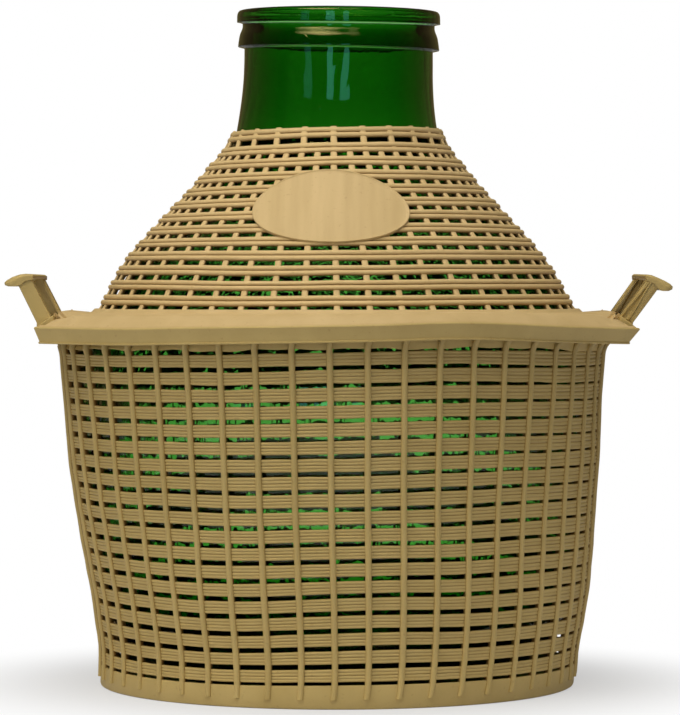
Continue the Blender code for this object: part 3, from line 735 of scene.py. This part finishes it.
class DEMIJOHN_OT_bottle(bpy.types.Operator):
    """Make the glass bottle"""

    bl_idname = "demijohn.bottle"
    bl_label = "Bottle"

    # The outside, as (radius, height) in millimetres, from the middle of the bottom
    BODY = (
        (0.0, 22.0), (40.0, 20.5), (72.0, 14.0), (92.0, 7.5), (104.0, 5.4), (118.0, 8.5), (133.0, 17.5),
        (146.0, 33.0), (155.0, 54.0), (160.0, 82.0), (164.0, 110.0), (167.2, 138.0), (169.4, 165.0),
        (169.3, 188.0), (167.2, 207.0), (162.5, 227.0), (154.6, 246.0), (143.5, 263.0), (133.0, 280.0),
        (118.8, 297.0), (103.9, 313.0), (88.5, 330.0), (75.5, 346.5), (69.0, 357.5), (66.2, 371.0),
        (64.2, 386.0), (63.1, 400.0), (62.8, 412.0), (62.7, 420.6),
    )
    # The bead, the groove and the lip, over the lip's top and down to its inner edge
    FINISH = (
        (62.7, 420.9), (62.9, 421.2), (63.6, 421.6), (65.9, 421.6), (66.6, 421.7), (66.9, 422.0),
        (66.9, 422.5), (66.8, 423.4), (66.7, 424.4), (66.4, 426.4), (66.1, 428.2), (65.8, 429.6),
        (65.4, 430.8), (64.9, 432.0), (64.4, 433.2), (64.0, 434.4), (63.9, 435.6), (63.9, 436.8),
        (64.0, 437.4), (64.4, 437.8), (65.2, 437.9), (67.2, 437.9), (67.6, 438.1), (67.7, 438.5),
        (67.6, 439.0), (67.6, 440.0), (67.6, 442.0), (67.5, 444.6), (67.4, 445.6), (67.0, 446.8),
        (66.2, 447.8), (65.6, 448.0), (65.1, 447.8), (64.7, 447.2), (64.4, 446.3), (64.3, 445.2),
        (64.2, 444.2), (64.1, 442.2),
    )
    FINISH_TOP = 448.0
    # The inside of the finish, upwards
    THROAT = ((58.6, 424.0), (59.4, 431.0), (61.0, 436.5), (63.1, 439.8), (63.9, 441.2))
    LIP_RADIUS = 64.6 * MM
    # Heights at which the finish starts to lean, and of its bead, the lip's lower edge and its top
    LEVELS = (0.412, 0.4216, 0.438, 0.4455)

    def execute(self, context):
        settings = context.scene.demijohn_glass
        outside = [tuple(point) for point in smooth_line(self.BODY, 5)]
        top = settings.height / MM
        outside += [(radius, height + top - self.FINISH_TOP) for radius, height in self.FINISH]
        inner = [(radius, height) for radius, height in self.BODY if height < 420]
        inner = smooth_line(self.drawn_in(inner, settings.wall / MM, settings.belly / MM), 4)
        inner = [(max(point.x, 0.0), point.y) for point in inner] + list(self.THROAT)
        bm = turned(in_metres(outside + inner[::-1]), settings.sides)
        obj = mesh_object("glass_bottle", bm, glass_material("Green glass"), smooth_angle=60)
        self.lean(obj)
        settle(obj, "bottle", "green_glass", "bottle")
        return {"FINISHED"}

    def lean(self, obj):
        """The blown neck leans a little to the right. Its bead, lip edge and top aren't level."""
        spots = spots_of(obj)
        x, y, z = spots.T.copy()
        right, front = x / self.LIP_RADIUS, np.clip(-y / self.LIP_RADIUS, -0.2, None)
        bead = 0.4 - 1.3 * right - 1.9 * front
        edge = 1.05 - 0.75 * right - 3.35 * front
        top = -np.clip(1.118 + (0.5 * x - y) / self.LIP_RADIUS, 0, None)
        spots[:, 0] += 0.0011 * smooth_step(z, 0.366, 0.42)
        shares = [np.clip((z - low) / (high - low), 0, 1) for low, high in zip(self.LEVELS, self.LEVELS[1:])]
        spots[:, 2] += MM * (bead * shares[0] + (edge - bead) * shares[1] + (top - edge) * shares[2])
        move_spots(obj, spots)

    @staticmethod
    def drawn_in(points, neck, belly):
        """The inner face: the outer one drawn in by the wall, which is thin in the belly."""
        inner = []
        for i, point in enumerate(points):
            before, after = Vector(points[max(i - 1, 0)]), Vector(points[min(i + 1, len(points) - 1)])
            along = (after - before).normalized()
            wall = float(np.interp(point[1], (20, 90, 300, 390), (3 * belly, belly, belly, neck)))
            moved = Vector(point) + Vector((-along.y, along.x)) * wall
            inner.append((moved.x, moved.y))
        inner[0] = (0.0, points[0][1] + 3 * belly)
        return inner


class DEMIJOHN_OT_basket_net(bpy.types.Operator):
    """Make the slats and ribs of the basket"""

    bl_idname = "demijohn.basket_net"
    bl_label = "Basket net"

    FIRST_RIB = FRONT - math.radians(1.0)
    BROADER = 0.15  # the share by which the slats are broader at the right

    def execute(self, context):
        net = context.scene.demijohn_net
        # Painted shade: the slats darken down their grooves and edges, the ribs where they sink into the slats
        plastic = plastic_material("Slat plastic", streak=(1.0, 1.0, 3.0), painted_shade_depths=(0.0001, 0.0013))
        ribbed = plastic_material("Rib plastic", streak=(1.0, 1.0, 0.3), painted_shade_depths=(-0.0008, 0.0006))
        wrapper = wrap_tree()
        wall = wall_guide("basket_wall", BASKET_WALL)
        slat = guide_curve("slat_section", self.slat_section(net), closed=True)
        values = {
            "Wall": wall, "Section": slat, "Count": net.basket_rows, "Step": net.basket_pitch,
            "First": net.basket_first + net.basket_pitch / 2, "Wobble": net.wobble,
            "Fray": net.fray, "Material": plastic, "Sides": net.sides,
        }
        slats = run_tree("basket_slats", ring_tree(wrapper), values)
        path = guide_curve("rib_path", *self.rib_path(net))
        section = guide_curve("rib_section", self.rib_section(net), closed=True)
        values |= {
            "Section": section, "Path": path, "Count": net.uprights, "Step": TURN / net.uprights,
            "First": self.FIRST_RIB, "Material": ribbed,
        }
        ribs = run_tree("basket_ribs", upright_tree(wrapper), values)
        remove_objects([wall, slat, path, section])
        self.broaden(slats, net)
        for obj in (slats, ribs):
            settle(let_sag(obj, slide=1.0), "basket", "tan_plastic", "lower_basket")
        return {"FINISHED"}

    def broaden(self, slats, net):
        """The slats are broader to the right, so the gaps are narrow there."""
        half = (net.basket_pitch - net.basket_gap) / 2
        spots = spots_of(slats)
        x, y, z = spots.T.copy()
        middles = np.linspace(z.min() + half, z.max() - half, net.basket_rows)
        row = np.round((z - middles[0]) / (middles[1] - middles[0])).astype(int)
        row = np.clip(row, 0, net.basket_rows - 1)
        spots[:, 2] += (z - middles[row]) * self.BROADER * smooth_step(x, 0.09, 0.16)
        move_spots(slats, spots)

    @staticmethod
    def slat_section(net):
        """Four strands fused side by side, each a low ridge, as points (out, rise)."""
        half = (net.basket_pitch - net.basket_gap) / 2
        points = [(-3.1, -0.86), (-1.6, -0.98), (-0.55, -0.98)]
        for strand, groove in enumerate((-0.55, -0.85, -0.5, 0)):
            middle = (strand - 1.5) / 2
            points += [(-0.12, middle - 0.16), (0.0, middle), (-0.12, middle + 0.16)]
            if groove:
                points.append((groove, middle + 0.25))
        points += [(-0.55, 0.98), (-1.6, 0.98), (-3.1, 0.86)]
        return [(out * MM, share * half, 0) for out, share in points]

    @staticmethod
    def rib_section(net):
        """A bar with a round face, let into the slats to their full depth, as points (out, across)."""
        half, proud = net.rib_width / 2, net.rib_proud
        turns = [math.pi * (i - 4) / 8 for i in range(9)]
        points = [(proud * math.cos(turn), half * math.sin(turn), 0) for turn in turns]
        return points + [(-0.0030, half * 0.8, 0), (-0.0034, 0, 0), (-0.0030, -half * 0.8, 0)]

    @staticmethod
    def rib_path(net):
        """Up the wall with a round foot, and out to the rim at the head."""
        foot, bend, head = 0.0062, 0.2205, 0.2345
        flare = 0.0048
        turns = [math.pi / 2 * i / 4 for i in range(5)]
        points = [(0.0, 0, foot + net.rib_width / 2 * (1 - math.cos(turn))) for turn in turns]
        radii = [max(math.sin(turn), 0.12) for turn in turns] + [1.0] * 36
        points += [(0.0, 0, foot + (bend - foot) * i / 30) for i in range(1, 31)]
        points += [(flare * (i / 6) ** 1.8, 0, bend + (head - bend) * i / 6) for i in range(1, 7)]
        return points, False, radii


class DEMIJOHN_OT_basket_body(bpy.types.Operator):
    """Make the basket's pan, bottom band and rim"""

    bl_idname = "demijohn.basket_body"
    bl_label = "Basket pan and rim"

    # The pan and the bottom band, as (radius, height) in millimetres
    PAN = (
        (0.0, 2.0), (147.0, 2.0), (148.6, 1.6), (149.2, 0.0), (156.4, 0.0), (157.3, 0.5), (157.7, 1.6),
        (157.7, 13.6), (157.5, 14.6), (156.8, 14.9), (155.6, 14.8), (155.2, 13.6), (155.0, 6.4),
        (153.6, 5.1), (0.0, 5.0),
    )
    # A handle's seat, level with the cover beside it, as (distance, height) in millimetres
    SEAT = ((183.4, 237.0), (194.2, 237.0), (194.3, 239.3), (193.6, 240.0), (184.2, 246.7), (183.6, 246.8))
    SEAT_HALF = 0.0676

    def execute(self, context):
        # Painted shade: the pan is brighter and the rim a little darker high up
        plastic = plastic_material("Rim plastic", streak=(1.0, 1.0, 0.5), high=0.97)
        sides = context.scene.demijohn_net.sides
        pan = mesh_object("basket_pan", turned(in_metres(self.PAN), sides), plastic)
        bm = bmesh.new()
        fascia = rim_loops(
            (0.0009, RIM_TOP), (0.0003, RIM_TOP - 0.0003), (0.0000, RIM_TOP - 0.0010), (0.0033, 0.2301),
            (0.0033, 0.2299), (0.0028, 0.2295), (0.0027, 0.2289), (0.0031, 0.2284), (0.0056, 0.2284),
            (0.0060, 0.2290), (0.0044, 0.2322), (0.0052, 0.2330),
        )
        skirt = round_loops((0.1812, 0.2330), (0.1794, 0.2312))
        skirt += self.ragged((0.1791, 0.2252), (0.1786, 0.2248), (0.1771, 0.2248), (0.1766, 0.2252))
        skirt += round_loops((0.1768, 0.2360), (0.1773, LEDGE_TOP))
        ledge = rim_loops((0.0026, LEDGE_TOP), (0.0025, 0.2392), (0.0022, RIM_TOP))
        skin(bm, fascia + skirt + ledge, closed=True)
        rim = mesh_object("basket_rim", bm, plastic)
        self.draw_in(rim)
        for obj, slide in ((pan, 1.0), (rim, 0.1835)):
            settle(let_sag(obj, slide=slide), "basket", "tan_plastic", "lower_basket")
        for side, sign in (("left", -1), ("right", 1)):
            settle(self.seat(side, sign, plastic), "basket", "tan_plastic", "lower_basket")
        return {"FINISHED"}

    @staticmethod
    def draw_in(rim):
        """The fascia's lower edge is bent in at its right end."""
        spots = spots_of(rim)
        x, y, z = spots.T.copy()
        bend = smooth_step(x, 0.1, 0.19) * np.clip((0.2385 - z) / 0.0095, 0, 1) * (np.hypot(x, y) > 0.1835)
        spots[:, 0] -= 0.0036 * bend
        move_spots(rim, spots)

    @staticmethod
    def ragged(*section):
        """Round loops along the skirt's lower edge, where flash was left in the mould. The edge is
        lower at the front and at the right."""
        waves = []
        for a in RIM_ANGLES:
            wave = 0.5 * math.sin(7 * a) + 0.45 * math.sin(17 * a + 1) + 0.4 * math.sin(41 * a + 2)
            waves.append(wave - 1.4 * max(0.0, math.cos(a - FRONT - 0.25)) ** 8)
        return [
            [
                (x, y, z + (wave - 2.6 * float(smooth_step(x, 0.1, 0.165))) * MM)
                for wave, (x, y, z) in zip(waves, loop)
            ]
            for loop in round_loops(*section)
        ]

    def seat(self, side, sign, plastic):
        bm = bmesh.new()
        skin(bm, [[(sign * x * MM, y, z * MM) for x, z in self.SEAT] for y in (-self.SEAT_HALF, self.SEAT_HALF)])
        return bevelled(let_sag(mesh_object("seat_" + side, bm, plastic)), 0.0004)


class DEMIJOHN_OT_cover_net(bpy.types.Operator):
    """Make the strands and bars of the cover"""

    bl_idname = "demijohn.cover_net"
    bl_label = "Cover net"

    RING = 0.0041  # how far the long bars run up behind the ring at the throat

    def execute(self, context):
        net = context.scene.demijohn_net
        # Painted shade down the strands' groove and on the bars behind them; the shares paint lighter copies of the
        # cover's plastic
        plastic = plastic_material("Strand plastic", streak=(1.0, 1.0, 3.0), painted_shade_depths=(0.0002, 0.0015), cover=1.06)
        barred = plastic_material("Bar plastic", streak=(1.0, 1.0, 0.3), painted_shade_depths=(0.0017, 0.0036), cover=1.08)
        wrapper = wrap_tree()
        wall = wall_guide("cover_wall", COVER_WALL)
        band = guide_curve("band_section", self.band_section(net), closed=True)
        first_gap = net.cover_band + net.cover_gap / 2
        values = {
            "Wall": wall, "Section": band, "Count": net.cover_rows, "Step": net.cover_pitch,
            "First": first_gap + net.cover_pitch / 2, "Wobble": 0.6 * net.wobble, "Fray": 0.35 * net.fray,
            "Material": plastic, "Sides": net.sides,
        }
        strands = run_tree("cover_strands", ring_tree(wrapper), values)
        section = guide_curve("bar_section", self.bar_section(net), closed=True)
        top = first_gap + net.cover_pitch * (net.cover_rows - 0.5)
        tree = upright_tree(wrapper)
        made = [strands]
        guides = [wall, band, section]
        for name, head, offset in (("long", top + self.RING, 0), ("short", top - net.cover_pitch, 1)):
            path = guide_curve("bar_path", *self.bar_path(head))
            values |= {
                "Section": section, "Path": path, "Count": net.uprights // 2, "Material": barred,
                "Step": 2 * TURN / net.uprights, "First": FRONT + offset * TURN / net.uprights,
            }
            made.append(run_tree("cover_bars_" + name, tree, values))
            guides.append(path)
        remove_objects(guides)
        for obj in made:
            settle(let_lean(obj), "cover", "tan_plastic", "top_cover")
        return {"FINISHED"}

    @staticmethod
    def band_section(net):
        """Two round strands fused side by side, as points (out, rise)."""
        half = (net.cover_pitch - net.cover_gap) / 4
        round_out = 1.75 * MM
        turns = [math.pi * (i / 8 * 1.24 - 0.62) for i in range(9)]
        return [
            (-round_out + round_out * math.cos(turn), middle + half * math.sin(turn), 0)
            for middle in (-half, half) for turn in turns
        ]

    @staticmethod
    def bar_section(net):
        """A flat bar with rounded corners behind the strands, as points (out, across)."""
        half = net.bar_width / 2
        corners = (
            (-1.3, 0.62), (-1.65, 0.9), (-2.3, 1.0), (-4.2, 0.8), (-4.2, -0.8), (-2.3, -1.0), (-1.65, -0.9),
            (-1.3, -0.62),
        )
        return [(out * MM, share * half, 0) for out, share in corners[::-1]]

    @staticmethod
    def bar_path(head):
        """Up the wall. Near the throat the bar is slimmer, to clear the glass."""
        rises = [0.001 + (head - 0.002) * i / 26 for i in range(27)] + [head - 0.0003, head]
        slim = [float(smooth_step(rise, 0.136, 0.154)) for rise in rises]
        radii = [1.0 - 0.2 * share for share in slim]
        radii[-2:] = [0.66, 0.4]
        return [(0.0009 * share, 0, rise) for share, rise in zip(slim, rises)], False, radii


class DEMIJOHN_OT_cover_body(bpy.types.Operator):
    """Make the cover's border and its oval plate"""

    bl_idname = "demijohn.cover_body"
    bl_label = "Cover border and plate"

    # Tongues at a handle's post: their lower and upper ends as (distance, height), and their sides
    KEEPERS = (
        (((176.2, 244.2), (181.2, 249.2)), 51.0, 53.2),
        (((179.6, 242.8), (184.6, 248.0)), 47.8, 50.0),
    )
    SEAT_SIDE = 0.1831  # the border's edge beside the handles' seats
    # The plate's section from its middle out, as (share of its size, how far it stands out)
    SHELLS = (
        (0.0, 1.7), (0.5, 1.7), (0.9, 1.7), (0.962, 1.7), (0.97, 1.85), (0.978, 2.15), (0.988, 2.25),
        (0.996, 2.1), (1.0, 1.7), (0.996, -0.6),
    )

    def execute(self, context):
        # Painted shade: the border gets a darker copy of the cover's plastic, against the light its top catches
        plastic = plastic_material("Border plastic", streak=(1.0, 1.0, 0.6), cover=0.93)
        above = rim_loops(
            (BORDER + 0.0003, 0.2399), (BORDER + 0.0011, 0.2405), (BORDER + 0.0040, 0.2428),
            (BORDER + 0.0075, 0.2452), (BORDER + 0.0105, 0.2467), (BORDER + 0.0135, CONE_FOOT),
        )
        inner = round_loops(
            (0.1662, CONE_FOOT), (0.1642, 0.2472), (0.1630, 0.2477), (0.1616, 0.2492), (0.1610, 0.2496),
            (0.1596, 0.2494), (0.1584, 0.2484), (0.1600, 0.2455), (0.1620, CONE_FOOT - 0.0025),
        )
        below = rim_loops(
            (BORDER + 0.0140, CONE_FOOT - 0.0025), (BORDER + 0.0040, 0.2398), (BORDER + 0.0035, 0.2368),
            (BORDER, 0.2368), (BORDER, 0.2396),
        )
        bm = bmesh.new()
        skin(bm, above + inner + below, closed=True)
        self.make_room_for_seats(bm)
        self.keepers(bm)
        border = let_sag(mesh_object("cover_border", bm, plastic), full=0.183, none=0.164)
        # Painted shade: the plate gets a darker copy of the cover's plastic
        smooth = plastic_material("Plate plastic", streak=(2.6, 0.3, 0.09), grain=0.12, flow=1.5, cover=0.93)
        for obj in (border, self.plate(smooth)):
            settle(obj, "cover", "tan_plastic", "top_cover")
        return {"FINISHED"}

    def keepers(self, bm):
        """Slanting tongues beside the posts' feet, two to a post."""
        for sign, half in ((-1, -1), (-1, 1), (1, -1), (1, 1)):
            for ends, near, far in self.KEEPERS:
                corners = ((-0.6, near), (0.6, near), (0.6, far), (-0.6, far))
                skin(bm, [
                    [(sign * (x + thick) * MM, half * y * MM, (z - thick) * MM) for thick, y in corners]
                    for x, z in ends
                ])

    def make_room_for_seats(self, bm):
        """Draws the border in beside the handles' seats, level between the posts and hollowed out
        in front of them."""
        for vert in bm.verts:
            x, y, z = (abs(part) for part in vert.co)
            if y < 0.0682 and x > self.SEAT_SIDE:
                vert.co.x = math.copysign(self.SEAT_SIDE, vert.co.x)
            if z > 0.2415:
                step = 2.4 * MM
                vert.co.z += step * smooth_step(x, 0.166, 0.181) * (1 - smooth_step(y, 0.034, 0.044))
                vert.co.z -= step * smooth_step(x, 0.172, 0.175) * smooth_step(y, 0.040, 0.046)

    def plate(self, plastic):
        """An oval plate bent round the cone, with a rounded edge."""
        line = wall_line(COVER_WALL)
        runs = [0.0]
        for start, end in zip(line, line[1:]):
            runs.append(runs[-1] + (end - start).length)

        def on_wall(run, proud):
            i = next((k for k in range(len(runs) - 2) if runs[k + 1] > run), len(runs) - 2)
            along = (line[i + 1] - line[i]).normalized()
            point = line[i] + along * (run - runs[i])
            return point + Vector((along.y, -along.x)) * proud

        half_width, half_height, tilt = 0.0506, 0.0318, 0.02
        middle_run, middle_aside = 0.0861, -0.0043
        middle_radius = on_wall(middle_run, 0).x
        steps, rings = 96, []
        bm = bmesh.new()
        for size, proud in self.SHELLS:
            ring = []
            for i in range(steps):
                turn = TURN * i / steps
                aside = middle_aside + half_width * size * math.cos(turn)
                up = middle_run + half_height * size * math.sin(turn) - tilt * (aside - middle_aside)
                point = on_wall(up, proud * MM)
                angle = FRONT + aside / middle_radius
                ring.append(bm.verts.new((point.x * math.cos(angle), point.x * math.sin(angle), point.y)))
                if size == 0.0:
                    break
            rings.append(ring)
        for low, high in zip(rings, rings[1:]):
            for i in range(steps):
                j = (i + 1) % steps
                corners = [low[i % len(low)], low[j % len(low)], high[j], high[i]]
                bm.faces.new(list(dict.fromkeys(corners)))
        bm.faces.new(rings[-1])
        return mesh_object("cover_plate", bm, plastic, smooth_angle=50)


class DEMIJOHN_OT_handles(bpy.types.Operator):
    """Make the two handles"""

    bl_idname = "demijohn.handles"
    bl_label = "Handles"

    # Grips across their length, as (distance from the middle, height) in millimetres, tip last
    GRIPS = {
        "left": (
            (204.6, 269.3), (198.0, 269.6), (197.9, 271.4), (199.0, 272.2), (202.6, 272.5), (206.4, 272.1),
            (211.4, 270.4), (215.2, 268.2), (216.7, 266.6), (216.3, 265.0), (214.2, 264.2), (211.2, 264.7),
            (208.2, 266.8),
        ),
        "right": (
            (208.0, 268.2), (201.4, 269.4), (201.2, 271.5), (202.4, 272.4), (205.0, 272.0), (208.5, 270.6),
            (213.4, 268.4), (217.2, 266.2), (218.9, 264.4), (218.5, 262.6), (216.2, 261.6), (213.4, 262.0),
            (210.6, 264.6),
        ),
    }
    # How much higher the grip is at its far end, over its length
    TILTS = {"left": 0.0, "right": 0.007}
    # The grip's rounded ends: the place along Y, the share of its reach, and how far its crown drops
    ENDS = ((58.0, 0.72, 1.5), (57.8, 0.84, 0.9), (57.2, 0.92, 0.45), (56.0, 0.97, 0.15), (53.5, 1.0, 0.0))
    # The share of its reach that the grip has at its far end
    FAR_REACH = {"left": 1.0, "right": 0.86}
    # The posts' inner and outer edges, as (distance, height) at the foot and at the grip
    EDGES = {
        "left": (((185.8, 243.0), (198.8, 268.5)), ((195.4, 240.5), (208.4, 267.0))),
        "right": (((183.0, 242.4), (201.6, 268.5)), ((191.4, 238.8), (210.0, 264.0))),
    }
    # Where the posts' outer edges end inside the grip
    POST_TOPS = {"left": 0.2690, "right": 0.2655}
    POST_FACE = 0.057  # the posts' outer faces, along Y
    POST_WIDTH = 0.012
    POST_WALL = 0.0025

    def execute(self, context):
        # Painted shade: like the basket's net, the handles are darker high up
        plastic = plastic_material("Handle plastic", streak=(1.0, 1.0, 0.4))
        for side, sign in (("left", -1), ("right", 1)):
            settle(self.handle(side, sign, plastic), "basket", "tan_plastic", "handle_" + side)
        return {"FINISHED"}

    def handle(self, side, sign, plastic):
        root = self.EDGES[side][0][1][0]

        def drawn(ring, share):
            return [(x if x < root else root + (x - root) * share, z) for x, z in ring]

        rings = []
        for y, reach, drop in self.ENDS:
            lowered = [
                (x, z - drop * (z > 266.0) * (1.0 if x > root + 1 else 0.6))
                for x, z in drawn(self.GRIPS[side], reach)
            ]
            rings.append((y, lowered))
        far = [(y, drawn(ring, self.FAR_REACH[side])) for y, ring in rings]
        rings = [(-y, ring) for y, ring in rings] + far[::-1]
        tilt = self.TILTS[side]
        bm = bmesh.new()
        skin(bm, [[(sign * x * MM, y * MM, (z + tilt * y) * MM) for x, z in ring] for y, ring in rings])
        obj = mesh_object("grip_" + side, bm, plastic)
        for half in (-1, 1):
            for shape in self.post(side, half * sign > 0):
                bm = bmesh.new()
                skin(bm, [[(sign * x, half * y, z) for x, y, z in ring] for ring in shape])
                united(obj, bevelled(mesh_object("part", bm, plastic), 0.0004, segments=1))
        tidy_mesh(obj.data, merge=1e-5)
        obj.data.set_sharp_from_angle(angle=math.radians(40))
        return obj

    def post(self, side, ribs_inside):
        """A post as solids: an angle section, its foot block, and two slanting ribs on its web."""
        outer, wall = self.POST_FACE, self.POST_WALL
        inner = outer - self.POST_WIDTH

        def edge_at(which, height):
            (x0, z0), (x1, z1) = self.EDGES[side][which]
            return (x0 + (x1 - x0) * (height / MM - z0) / (z1 - z0)) * MM

        def angle_section(z):
            """An angle's section. At the grip its outer edge ends lower, inside the grip."""
            below = min(z, self.POST_TOPS[side])
            low, high = edge_at(0, z), edge_at(1, below)
            return [
                (low, inner, z), (low + wall, inner, z), (low + wall, outer - wall, z),
                (high, outer - wall, below), (high, outer, below), (low, outer, z),
            ]

        def box(z, low, high, near, far):
            return [(low, near, z), (high, near, z), (high, far, z), (low, far, z)]

        block = [
            box(z, edge_at(0, at), edge_at(1, at), inner, outer)
            for z, at in ((LEDGE_TOP - 0.0018, 0.2405), (0.2405, 0.2405), (0.2446, 0.2446))
        ]
        shapes = [[angle_section(0.2425), angle_section(0.2706)], block]
        near, far = outer - wall / 2, outer + 0.0009
        if ribs_inside:
            near, far = outer - wall - 0.001, outer - wall / 2
        for share in (0.03, 0.62):
            rib = []
            for z, start in ((0.2425, share), (0.2688, 0.22 + 0.12 * share)):
                low, high = edge_at(0, z), edge_at(1, z)
                middle = low + (high - low) * start
                rib.append(box(z, middle - 0.0006, middle + 0.0008, near, far))
            shapes.append(rib)
        return shapes


class DEMIJOHN_OT_stage(bpy.types.Operator):
    """Set up the floor, light and camera"""

    bl_idname = "demijohn.stage"
    bl_label = "Stage"

    # Lamps as name, turn to the right in degrees, distance, height, size and power
    SOFTBOXES = (
        ("Ceiling softbox", -20, 0.6, 1.9, (1.7, 1.7), 36),
        ("Left softbox", -50, 2.2, 0.9, (1.1, 1.1), 8.0),
        ("Right softbox", 64, 2.2, 0.8, (1.1, 1.1), 2.6),
    )
    WINDOWS = (
        ("Window left", -9, 2.7, 0.715, (0.42, 0.73), 1.9),
        ("Window right", 8.5, 2.7, 0.715, (0.33, 0.73), 1.25),
        ("Window side", -37, 2.7, 0.715, (0.33, 0.73), 0.5),
    )
    # Warm glows that only shine: their turn, narrowness, lowness and strength
    GLOWS = ((-0.40, 1.45, 5.5, 9.0), (0.33, 4.2, 4.5, 1.6))
    GLOW_HEIGHT = 0.64
    LOOK_DOWN = 1.086  # degrees

    def execute(self, context):
        stage = context.scene.demijohn_stage
        context.scene.view_settings.view_transform = "Standard"
        self.floor()
        self.world(context, stage.sky)
        for row in self.SOFTBOXES:
            self.lamp(*row, colour=(1.0, 0.98, 0.94)).visible_glossy = False
        for row in self.WINDOWS:
            self.lamp(*row, colour=(0.2, 1.0, 0.8)).visible_diffuse = False
        self.camera(context, stage)
        return {"FINISHED"}

    @staticmethod
    def floor():
        bm = bmesh.new()
        bmesh.ops.create_grid(bm, x_segments=2, y_segments=2, size=14)
        material, made, shader, where = new_material("Pale floor")
        shader.inputs["Base Color"].default_value = (0.6, 0.6, 0.6, 1)
        shader.inputs["Roughness"].default_value = 0.9
        shader.inputs["Specular IOR Level"].default_value = 0.1
        far = made.add("ShaderNodeVectorMath", {0: where}, operation="LENGTH").outputs["Value"]
        far = made.ranged(far, 0.15, 0.32, low=0.5, interpolation_type="SMOOTHSTEP")
        path = made.add("ShaderNodeLightPath").outputs
        seen = made.math("MAXIMUM", path["Is Camera Ray"], made.times(path["Is Glossy Ray"], 0.05))
        seen = made.math("MAXIMUM", seen, path["Is Transmission Ray"])
        glow = made.add("ShaderNodeEmission", {"Color": (1, 1, 1, 1), "Strength": 1.0})
        mix = made.add("ShaderNodeMixShader", {0: made.times(far, seen), 1: shader, 2: glow})
        made.feed(made.tree.nodes["Material Output"].inputs["Surface"], mix)
        floor = mesh_object("floor", bm, material)
        floor.location.z = -0.0002

    def world(self, context, sky):
        """White to the camera and through glass, an even light, and a dim warm room in reflections."""
        world = bpy.data.worlds.new("Studio")
        world.use_nodes = True
        context.scene.world = world
        made = Tree(world.node_tree)
        world.node_tree.nodes.clear()
        path = made.add("ShaderNodeLightPath").outputs
        seen = made.math("MAXIMUM", path["Is Camera Ray"], path["Is Transmission Ray"])
        east, north, up = made.axes(made.add("ShaderNodeTexCoord").outputs["Generated"])
        glow = made.ranged(north, -0.3, 0.7, low=0.015, high=0.16)
        turn = made.math("ARCTAN2", east, made.times(north, -1.0))
        for middle, narrow, low, strength in self.GLOWS:
            aside = made.times(made.minus(turn, middle), narrow)
            above = made.times(made.minus(up, self.GLOW_HEIGHT), low)
            away = made.plus(made.math("POWER", aside, 2.0), made.math("POWER", above, 2.0))
            patch = made.math("MAXIMUM", made.minus(1.0, away), 0.0)
            glow = made.plus(glow, made.times(made.math("POWER", patch, 1.5), strength))
        room = made.add("ShaderNodeBackground", {"Color": (1.0, 0.81, 0.3, 1), "Strength": glow})
        even = made.add("ShaderNodeBackground", {"Color": (1.0, 0.97, 0.92, 1), "Strength": sky})
        even = made.add("ShaderNodeMixShader", {0: path["Is Glossy Ray"], 1: even, 2: room})
        white = made.add("ShaderNodeBackground", {"Color": (1, 1, 1, 1), "Strength": 1.0})
        mix = made.add("ShaderNodeMixShader", {0: seen, 1: even, 2: white})
        made.add("ShaderNodeOutputWorld", {"Surface": mix})

    @staticmethod
    def lamp(name, turn, away, height, size, power, colour):
        """A soft lamp, turned to the right from the camera's side, that looks at the object."""
        light = bpy.data.lights.new(name, "AREA")
        light.shape = "RECTANGLE"
        light.size, light.size_y = size
        light.energy = power
        light.color = colour
        obj = new_object(name, light)
        turn = math.radians(turn)
        place = Vector((away * math.sin(turn), -away * math.cos(turn), height))
        obj.location = place
        obj.rotation_euler = (Vector((0, 0, 0.3)) - place).to_track_quat("-Z", "Y").to_euler()
        return obj

    def camera(self, context, stage):
        data = bpy.data.cameras.new("Camera")
        data.sensor_fit = "HORIZONTAL"
        data.sensor_width = 36
        data.lens = data.sensor_width * stage.focal
        data.clip_end = 100
        camera = new_object("Camera", data)
        camera.location = (0.002, -stage.distance, stage.eye_height)
        camera.rotation_euler = (math.radians(90 - self.LOOK_DOWN), 0, 0)
        context.scene.camera = camera


class DEMIJOHN_PT_panel(bpy.types.Panel):
    """Sizes, colours and pieces of the demijohn"""

    bl_label = "Demijohn"
    bl_idname = "DEMIJOHN_PT_panel"
    bl_space_type = "VIEW_3D"
    bl_region_type = "UI"
    bl_category = "Demijohn"

    def draw(self, context):
        for name in SETTINGS:
            box = self.layout.box()
            settings = getattr(context.scene, name)
            for prop in type(settings).__annotations__:
                box.prop(settings, prop)
        for operator in OPERATORS:
            self.layout.operator(operator.bl_idname)


SETTINGS = {
    "demijohn_glass": DEMIJOHN_PG_glass,
    "demijohn_net": DEMIJOHN_PG_net,
    "demijohn_plastic": DEMIJOHN_PG_plastic,
    "demijohn_stage": DEMIJOHN_PG_stage,
}
OPERATORS = (
    DEMIJOHN_OT_bottle,
    DEMIJOHN_OT_basket_net,
    DEMIJOHN_OT_basket_body,
    DEMIJOHN_OT_cover_net,
    DEMIJOHN_OT_cover_body,
    DEMIJOHN_OT_handles,
    DEMIJOHN_OT_stage,
)


def register():
    for cls in (*SETTINGS.values(), *OPERATORS, DEMIJOHN_PT_panel):
        bpy.utils.register_class(cls)
    for name, group in SETTINGS.items():
        setattr(bpy.types.Scene, name, PointerProperty(type=group))


def unregister():
    for name in SETTINGS:
        delattr(bpy.types.Scene, name)
    for cls in reversed((*SETTINGS.values(), *OPERATORS, DEMIJOHN_PT_panel)):
        bpy.utils.unregister_class(cls)


def main():
    register()
    bpy.ops.demijohn.bottle()
    bpy.ops.demijohn.basket_net()
    bpy.ops.demijohn.basket_body()
    bpy.ops.demijohn.cover_net()
    bpy.ops.demijohn.cover_body()
    bpy.ops.demijohn.handles()
    bpy.ops.demijohn.stage()


if __name__ == "__main__":
    main()
